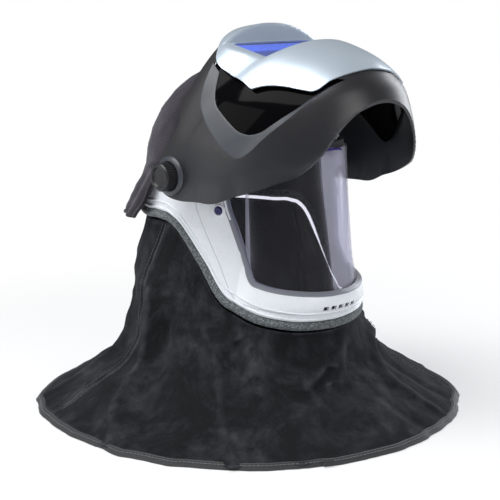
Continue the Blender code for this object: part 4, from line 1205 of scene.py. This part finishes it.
def cover_row(edge, z, rise, out):
    """One row of the cover's points, from its edge on one side to that on the other."""
    row = []
    for k in range(-COVER_HALF, COVER_HALF + 1):
        side = abs(k) / COVER_HALF
        station = 1 - (1 - edge) * side
        p = shell_point(station if k >= 0 else -station, z, rise, out)
        hang = 1 - ease((z + DOME_RISE * sin(radians(rise)) - 0.24) / 0.10)
        away = Vector((p.x, p.y, 0.35 * (p.z - 0.30))).normalized()
        fold = 0.0022 * wrinkle(p, 26) + 0.0012 * wrinkle(p, 60, 5)
        fold += hang * 0.0024 * sin(k * 0.55 + 9 * z) * (0.4 + 0.6 * side)
        row.append(p + away * (fold + 0.0006))
    return row


def make_head_cover():
    """Napped fabric over the dome and down behind, with a turned hem."""
    rows = [cover_row(follow(COVER_EDGE, z), z, 0, follow(COVER_FALL, z))
            for z in spread(0.2325, 0.293, 22)]
    for rise in range(0, 88, 4):
        edge = follow(COVER_DOME_EDGE, rise) if rise else COVER_EDGE[-1][1]
        rows.append(cover_row(edge, PIVOT_Z, rise, follow(COVER_DOME_OUT, rise)))
    top = Vector((0, 0, PIVOT_Z + DOME_RISE + COVER_DOME_OUT[-1][1]))
    rows.append([top] * (2 * COVER_HALF + 1))
    cover = new_piece("fabric_head_cover", grid_mesh(rows, (0, 0, 0.3)), "fabric", "helmet",
                      ("head_cover",), sharp=0)
    wall(cover, SKIN["cover"])
    cut(cover, rod_mesh(-0.02, 0.06, COVER_HOLE), transform=inlet_frame())
    border = [row[-1] for row in rows[::-1]] + rows[0][::-1] + [row[0] for row in rows[1:]]
    border = [p for p, q in zip(border, border[1:]) if (p - q).length > 0.0008]
    roll = ring_mesh(tube_rings(along(border, 260), 0.0024, 8), caps=True)
    hem = new_piece("head_cover_hem", roll, "fabric", "helmet", sharp=0, slot="cover_fabric")
    collar = ((0.0105, 0.0210), (0.0150, 0.0212), (0.0158, 0.0240), (0.0105, 0.0252))
    ring = turned_piece("cover_inlet_collar", collar, 0.0008, 64, "tape", "helmet",
                        transform=inlet_frame(), slot="hem_tape")


def hem_factor(turn):
    """The hem's plan: a little oval, and drawn in behind its two side corners."""
    from_front = abs((turn + 42 + 180) % 360 - 180)
    drawn = 0.075 * ease((from_front - 84) / 30)
    return (1 + 0.018 * cos(radians(2 * (turn + 40)))) * (1 - drawn)


def gasket_station(turn):
    """The station round the helmet that lies in a direction from the middle."""
    goal = abs((turn + 180) % 360 - 180)

    def short_of(station):
        p = below_edge(station, *LEATHER_DROP)
        return degrees(atan2(abs(p.x), -p.y)) < goal

    return (1 if turn % 360 < 180 else -1) * bisect(short_of, 0.0, 1.0, 18)


FOLDS = (                                 # a run of (turn, height) points, half width, rise
    (((-100, 0.150), (-96, 0.100), (-94, 0.055), (-88, 0.035), (-80, 0.012)), 0.009, 0.0100),
    (((-88, 0.110), (-84, 0.060), (-72, 0.018)), 0.010, -0.0070),
    (((-66, 0.120), (-58, 0.098), (-54, 0.066), (-50, 0.034), (-46, 0.008)), 0.009, 0.0085),
    (((-49, 0.098), (-44, 0.062), (-40, 0.028)), 0.009, -0.0065),
    (((20, 0.118), (8, 0.104), (-2, 0.080), (-20, 0.063)), 0.010, 0.0110),
    (((-8, 0.068), (-17, 0.053), (-6, 0.047), (6, 0.038), (9, 0.012)), 0.0075, -0.0060),
    (((62, 0.100), (36, 0.080), (24, 0.062), (20, 0.042), (22, 0.015)), 0.008, 0.0090),
    (((38, 0.070), (33, 0.045), (35, 0.015)), 0.009, -0.0060),
    (((-52, 0.088), (-42, 0.112)), 0.005, -0.0050),
    (((-30, 0.050), (-28, 0.025), (-30, 0.004)), 0.012, 0.0045),
    (((58, 0.120), (66, 0.060), (70, 0.010)), 0.013, 0.0060),
    (((84, 0.110), (88, 0.060), (92, 0.010)), 0.012, -0.0050),
    (((124, 0.140), (128, 0.070), (126, 0.010)), 0.014, 0.0070),
    (((150, 0.110), (148, 0.050), (152, 0.010)), 0.013, -0.0050),
    (((172, 0.150), (168, 0.080), (174, 0.010)), 0.015, 0.0070),
    (((200, 0.120), (206, 0.060), (204, 0.010)), 0.014, 0.0065),
    (((228, 0.130), (232, 0.070), (236, 0.010)), 0.012, 0.0060),
)


def fold_height(turn, z, reach):
    """How far the leather stands out of its plain form, from all its folds."""
    total = 0.0
    for points, width, rise in FOLDS:
        best = 9.0
        for (a, za), (b, zb) in zip(points, points[1:]):
            ax, bx = radians(a - turn) * reach, radians(b - turn) * reach
            dx, dz = bx - ax, zb - za
            t = min(1.0, max(0.0, (-ax * dx + (z - za) * dz) / (dx * dx + dz * dz)))
            best = min(best, hypot(ax + t * dx, za + t * dz - z))
        total += rise * exp(-(best / width) ** 2)
    return total


DENTS = ((0.0060, 13, 3), (0.0032, 34, 7), (0.0010, 95, 0))     # depth, fineness, seed
STITCH, STITCH_GAP, THREAD = 0.0032, 0.0016, 0.00042


class Leather:
    """The shroud's form in one direction, with what is slow to find kept."""

    def __init__(self, turn):
        self.turn = turn
        self.top = below_edge(gasket_station(turn), *LEATHER_DROP)
        self.at_top = hypot(self.top.x, self.top.y) / follow(SHROUD_PROFILE, self.top.z)

    def point(self, share, out=0.0, bottom=LEATHER_FOOT):
        """A point at a share of the way from a bottom height up to the gasket."""
        z = bottom + (self.top.z - bottom) * share
        blend = max(0.0, (z - 0.06) / (self.top.z - 0.06)) ** 1.5
        low = max(0.0, 1 - z / 0.16)
        factor = (1 + (hem_factor(self.turn) - 1) * low) * (1 - blend) + self.at_top * blend
        reach = follow(SHROUD_PROFILE, z) * factor + out
        fade = ease((1 - share) / 0.35)
        reach += fade * fold_height(self.turn, z, reach)
        a = radians(self.turn)
        outward = Vector((sin(a), -cos(a), 0))
        p = outward * reach + Vector((0, 0, z))
        dent = sum(depth * wrinkle(p, fine, seed) for depth, fine, seed in DENTS)
        return p + outward * dent * fade

    def foot(self):
        """The leather's foot set down on the floor, and the level way out from it."""
        base = self.point(0.0)
        return Vector((base.x, base.y, 0)), level(base)


def stitch_run(points, normals, name, look):
    """A row of stitches along a line on a surface, as one piece."""
    total = sum((b - a).length for a, b in zip(points, points[1:]))
    line = along(points, max(4, int(total / (STITCH + STITCH_GAP)) * 2))
    outward = along(normals, len(line))
    bm = bmesh.new()
    for i in range(0, len(line) - 1, 2):
        a = line[i]
        end = a + (line[i + 1] - a).normalized() * STITCH
        lift = outward[i].normalized() * THREAD * 0.8
        run = [a - lift, a.lerp(end, 0.2) + lift, a.lerp(end, 0.8) + lift, end - lift]
        add_rings(bm, tube_rings(run, THREAD, 6), caps=True)
    bmesh.ops.recalc_face_normals(bm, faces=bm.faces)
    return new_piece(name, bm, look, "helmet", sharp=0, slot="hem_tape")


PANEL_LOOKS = (                           # turns, columns, the flat cut: width, length, area
    ("front", RIGHT_SEAM, LEFT_FRONT_SEAM, 190, (0.56, 0.24), 0.100),
    ("left", LEFT_FRONT_SEAM, LEFT_SEAM, 74, (0.27, 0.24), 0.046),
    ("rear", LEFT_SEAM, RIGHT_SEAM + 360, 170, (0.56, 0.27), 0.110),
)


def make_shroud():
    """The leather panels, the stitches beside their seams, and the hem below."""
    panels, pieces = {}, {}
    for name, first, last, count, *_ in PANEL_LOOKS:
        columns = [Leather(t) for t in spread(first, last, count)]
        tucks = [-0.0016 * max(0.0, 1 - min(k, count - k) / 3.0) for k in range(count + 1)]
        rows = [[column.point(share ** 1.15, tuck) for column, tuck in zip(columns, tucks)]
                for share in spread(0, 1, 70)]
        panels[name] = new_piece(f"suede_{name}", grid_mesh(rows, (0, 0, 0.1)), "suede", "helmet",
                                 (f"shroud_{name}",), sharp=0)
        wall(panels[name], SKIN["leather"])
    for name, first, *_ in PANEL_LOOKS:
        pieces[name] = []
        for k, offset in enumerate((-1.6, 1.6)):
            column = Leather(first + offset)
            line = [column.point(s, 0.0008, bottom=0.012) for s in spread(0.0, 0.985, 90)]
            outward = [Vector((p.x, p.y, 0.03)).normalized() for p in line]
            pieces[name].append(stitch_run(line, outward, f"seam_stitches_{name}_{k + 1}",
                                           "dark_thread"))
    pieces["front"] += make_hem()


def make_hem():
    """The bound edge that the shroud stands on, its stitches and the small tab."""
    count, lean = 300, 0.4025
    feet = [Leather(360 * k / count).foot() for k in range(count)]
    section = ((0.0062, 0.0002), (0.0066, 0.0022), (0.0040, 0.0036), (0.0007, 0.0054),
               (0.0, 0.0048), (0.0, 0.0030), (0.0007, 0.0020), (0.0040, -0.0004),
               (0.0058, -0.0020))
    rings = [[foot + Vector((0, 0, z)) + out * (w - 0.0016 - (z - LEATHER_FOOT) * lean)
              for z, w in section] for foot, out in feet]
    tape = new_piece("bound_hem", ring_mesh(rings, closed=True), "tape", "helmet",
                     ("hem_binding",), sharp=50)
    ring = feet + feet[:1]
    line = [foot + Vector((0, 0, 0.0048)) + out * 0.0015 for foot, out in ring]
    outward = [out + Vector((0, 0, 0.6)) for _, out in ring]
    stitches = stitch_run(line, outward, "hem_stitches", "thread")
    foot, out = Leather(TAB_TURN).foot()
    place = Matrix.LocRotScale(foot + Vector((0, 0, 0.0004)) + out * 0.0078,
                               Matrix.Rotation(radians(TAB_TURN), 3, "Z").to_quaternion(), None)
    tab = new_piece("folded_tab", box_mesh((-0.0062, 0.0, 0.0), (0.0062, 0.0018, 0.0085)),
                    "tape", "helmet", ("hem_tab",), transform=place)
    soften(tab, 0.0007, 3)
    return [tape, stitches, tab]


# ---- Harness and air path ----
def band_point(turn, out=0.0, up=0.0):
    """A point of the headband's oval at a turn from the front, moved out and up."""
    a = radians(turn)
    x = (BAND_X + out) * sin(a)
    y = BAND_CENTRE - (BAND_Y + out) * cos(a)
    return Vector((x, y, BAND_Z + BAND_TILT * cos(a) + up))


def make_pad(name, node, first, last, channels):
    """A stuffed strip on the headband, crowned between its edges and pulled in at channels."""
    heights = spread(-1, 1, 20)
    rings = []
    for u in spread(0, 1, 96):
        turn = first + (last - first) * u
        ends = (1 - (2 * u - 1) ** 8) ** 0.5
        pinch = 1 - sum(0.42 * exp(-((u - c / channels) * channels * 7) ** 2)
                        for c in range(1, channels))
        inner = [band_point(turn, -0.0031 - 0.0056 * sqrt(1 - v ** 4) * ends * pinch, 0.0112 * v)
                 for v in heights]
        outer = [band_point(turn, -0.0028, 0.0110 * v) for v in heights]
        rings.append(inner + outer[::-1])
    pad = new_piece(name, ring_mesh(rings, caps=True), "foam", "helmet", (node,), sharp=60)


def make_inlet():
    """The pipe that the breathing tube plugs on to, its three lugs and its sealing ring."""
    pipe = ((-0.0035, 0.0125), (0.048, 0.0125), (0.048, 0.0168), (0.0425, 0.0170),
            (0.0425, 0.0155), (0.0395, 0.0155), (0.0395, 0.0170), (0.0225, 0.0170),
            (0.0225, 0.0190), (0.0200, 0.0190), (0.0200, 0.0170), (-0.0035, 0.0170))
    turned_piece("breathing_inlet", pipe, 0.0005, 96, "inlet", "helmet", ("air_inlet",),
                 transform=inlet_frame())
    for k in range(3):
        lug = box_mesh((0.0300, -0.0030, 0.0165), (0.0340, 0.0030, 0.0192))
        spin = inlet_frame() @ Matrix.Rotation(2 * pi * k / 3 + 0.5, 4, "X")
        piece = new_piece(f"inlet_lug_{k + 1}", lug, "inlet", "helmet", transform=spin,
                          slot="duct_grey")
        soften(piece, 0.0006, 3)
    seal = [(0.0398 + 0.0012 * (1 + cos(a)), 0.0167 + 0.0012 * sin(a))
            for a in (2 * pi * k / 16 for k in range(16))]
    new_piece("inlet_o_ring", turned_mesh(seal, 96), "seal", "helmet", ("inlet_seal",),
              transform=inlet_frame())


def make_ratchet():
    """The headband adjuster's case and its ribbed wheel."""
    low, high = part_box("ratchet_housing")
    house = new_piece("ratchet_case", box_mesh(low, high), "band", "helmet",
                      ("ratchet_housing",))
    soften(house, 0.0030, 4, 30)
    low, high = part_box("ratchet_knob")
    centre = (low + high) / 2
    spin = Matrix.Translation((0, low.y, centre.z)) @ Matrix.Rotation(pi / 2, 4, "Z")

    def ribbed(angle, a, r):
        return r - (0.0011 * (0.5 - 0.5 * cos(24 * angle)) ** 2 if r > 0.0140 else 0.0)

    knob = ((0, 0), (0.0095, 0), (0.0095, 0.0105), (0.0108, 0.0120), (0.0108, 0.0150),
            (0.0095, 0.0168), (0.0020, 0.0168), (0, 0.0155))
    turned_piece("ratchet_wheel", knob, 0.0006, 240, "knob", "ratchet_knob", ("ratchet_knob",),
                 shape=ribbed, transform=spin)


def make_strap_details():
    """The studs along the crown strap that runs across the head."""
    for k in (-3, -2, -1, 1, 2, 3):
        a = radians(90 + 13 * k)
        spot = Vector((-(BAND_X - 0.001) * cos(a), BAND_CENTRE, BAND_Z + 0.0150
                       + 0.066 * sin(a) + 0.0004))
        out = Vector((-cos(a) * 0.9, 0, sin(a)))
        place = Matrix.LocRotScale(spot, out.to_track_quat("X", "Z"), None)
        stud = ((0, 0), (0.0014, 0), (0.0014, 0.0018), (0, 0.0024))
        turned_piece(f"strap_stud_{k + 4}", stud, 0.0004, 24, "band", "helmet", transform=place,
                     slot="band_grey")


# ---- Light, floor and camera ----
TARGET = Vector((0, 0, 0.186))
BACK = Vector((-0.654, -0.727, 0.208)).normalized()
DISTANCE, FOCAL = 1.62, 91.8


def make_camera():
    data = bpy.data.cameras.new("camera")
    data.lens, data.sensor_width = FOCAL, 36.0
    camera = add_object("camera", data)
    camera.matrix_world = Matrix.LocRotScale(TARGET + BACK * DISTANCE,
                                             BACK.to_track_quat("Z", "Y"), None)
    bpy.context.scene.camera = camera


def area_light(name, direction, distance, size, watts, colour=(1, 1, 1)):
    """A rectangular light that points at the object from a direction."""
    data = bpy.data.lights.new(name, "AREA")
    data.shape = "RECTANGLE"
    data.size, data.size_y = size
    data.energy = watts
    data.color = colour
    way = Vector(direction).normalized()
    add_object(name, data).matrix_world = Matrix.LocRotScale(
        Vector((0, 0, 0.25)) + way * distance, way.to_track_quat("Z", "Y"), None)


def make_light():
    """Four soft lights, and a world that looks white and lights only a little."""
    right = Vector((0.743, -0.669, 0))
    up = Vector((0, 0, 1))
    area_light("key", BACK * 0.35 - right * 0.45 + up * 1.0, 1.6, (1.5, 1.1), 31)
    area_light("front_right", BACK * 0.9 + right * 0.75 + up * 0.25, 1.7, (0.7, 1.2), 10)
    area_light("rim", BACK * -0.8 + right * 0.9 + up * 0.5, 1.7, (0.8, 1.2), 16,
               (0.92, 0.95, 1.0))
    area_light("left", BACK * 0.25 - right * 1.0 + up * 0.25, 1.8, (1.0, 1.3), 8)
    world = bpy.data.worlds.new("studio")
    world.use_nodes = True
    sky = Nodes(world.node_tree)
    white = sky.tree.nodes["Background"]
    sky.feed(white.inputs["Color"], (1, 1, 1))
    sky.feed(white.inputs["Strength"], 1.0)
    dim = sky.node("ShaderNodeBackground", {"Color": (0.94, 0.96, 1.0), "Strength": 0.20})
    sky.end_in_mix(sky.camera_ray(), dim, white, "World Output")
    bpy.context.scene.world = world
    view = bpy.context.scene.view_settings
    view.view_transform = "Standard"
    view.look = "None"
    view.exposure = 0.0


def make_floor():
    """A pale disc that fades into the white round it."""
    bm = bmesh.new()
    bmesh.ops.create_circle(bm, cap_ends=True, segments=96, radius=14.0)
    mesh = bpy.data.meshes.new("floor")
    bm.to_mesh(mesh)
    bm.free()
    floor = add_object("floor", mesh)
    floor.location.z = -0.0004
    look = Look("pale_floor")
    look.set(Base_Color=(0.86, 0.87, 0.88), Roughness=0.6, Specular_IOR_Level=0.2)
    away = look.node("ShaderNodeVectorMath", {0: look.place}, operation="LENGTH")
    fade = look.map(away.outputs["Value"], 0.30, 0.85, 0.35, 1.0,
                    interpolation_type="SMOOTHSTEP")
    glow = look.node("ShaderNodeEmission", {"Strength": 1.0})
    look.end_in_mix(look.math("MULTIPLY", fade, look.camera_ray()), look.shader, glow)
    mesh.materials.append(look.material)


make_camera()
dress_cad_nodes()
make_shield_shell()
for side_name, way in SIDES:
    make_window_bevel(side_name, way)
make_front_panel()
make_lens_frame()
make_rings()
make_helmet()
make_visor_frame()
for side_name, way in SIDES:
    make_arm(side_name, way)
make_view_ledge()
make_visor_sheet()
make_visor_tab()
for side_name, way in SIDES:
    make_pin(side_name, way)
make_gasket()
make_head_cover()
make_shroud()
make_pad("sweatband_pad", "sweatband", -60, 60, 5)
make_pad("nape_cushion", "nape_pad", 150, 210, 3)
make_inlet()
make_ratchet()
make_strap_details()
make_light()
make_floor()
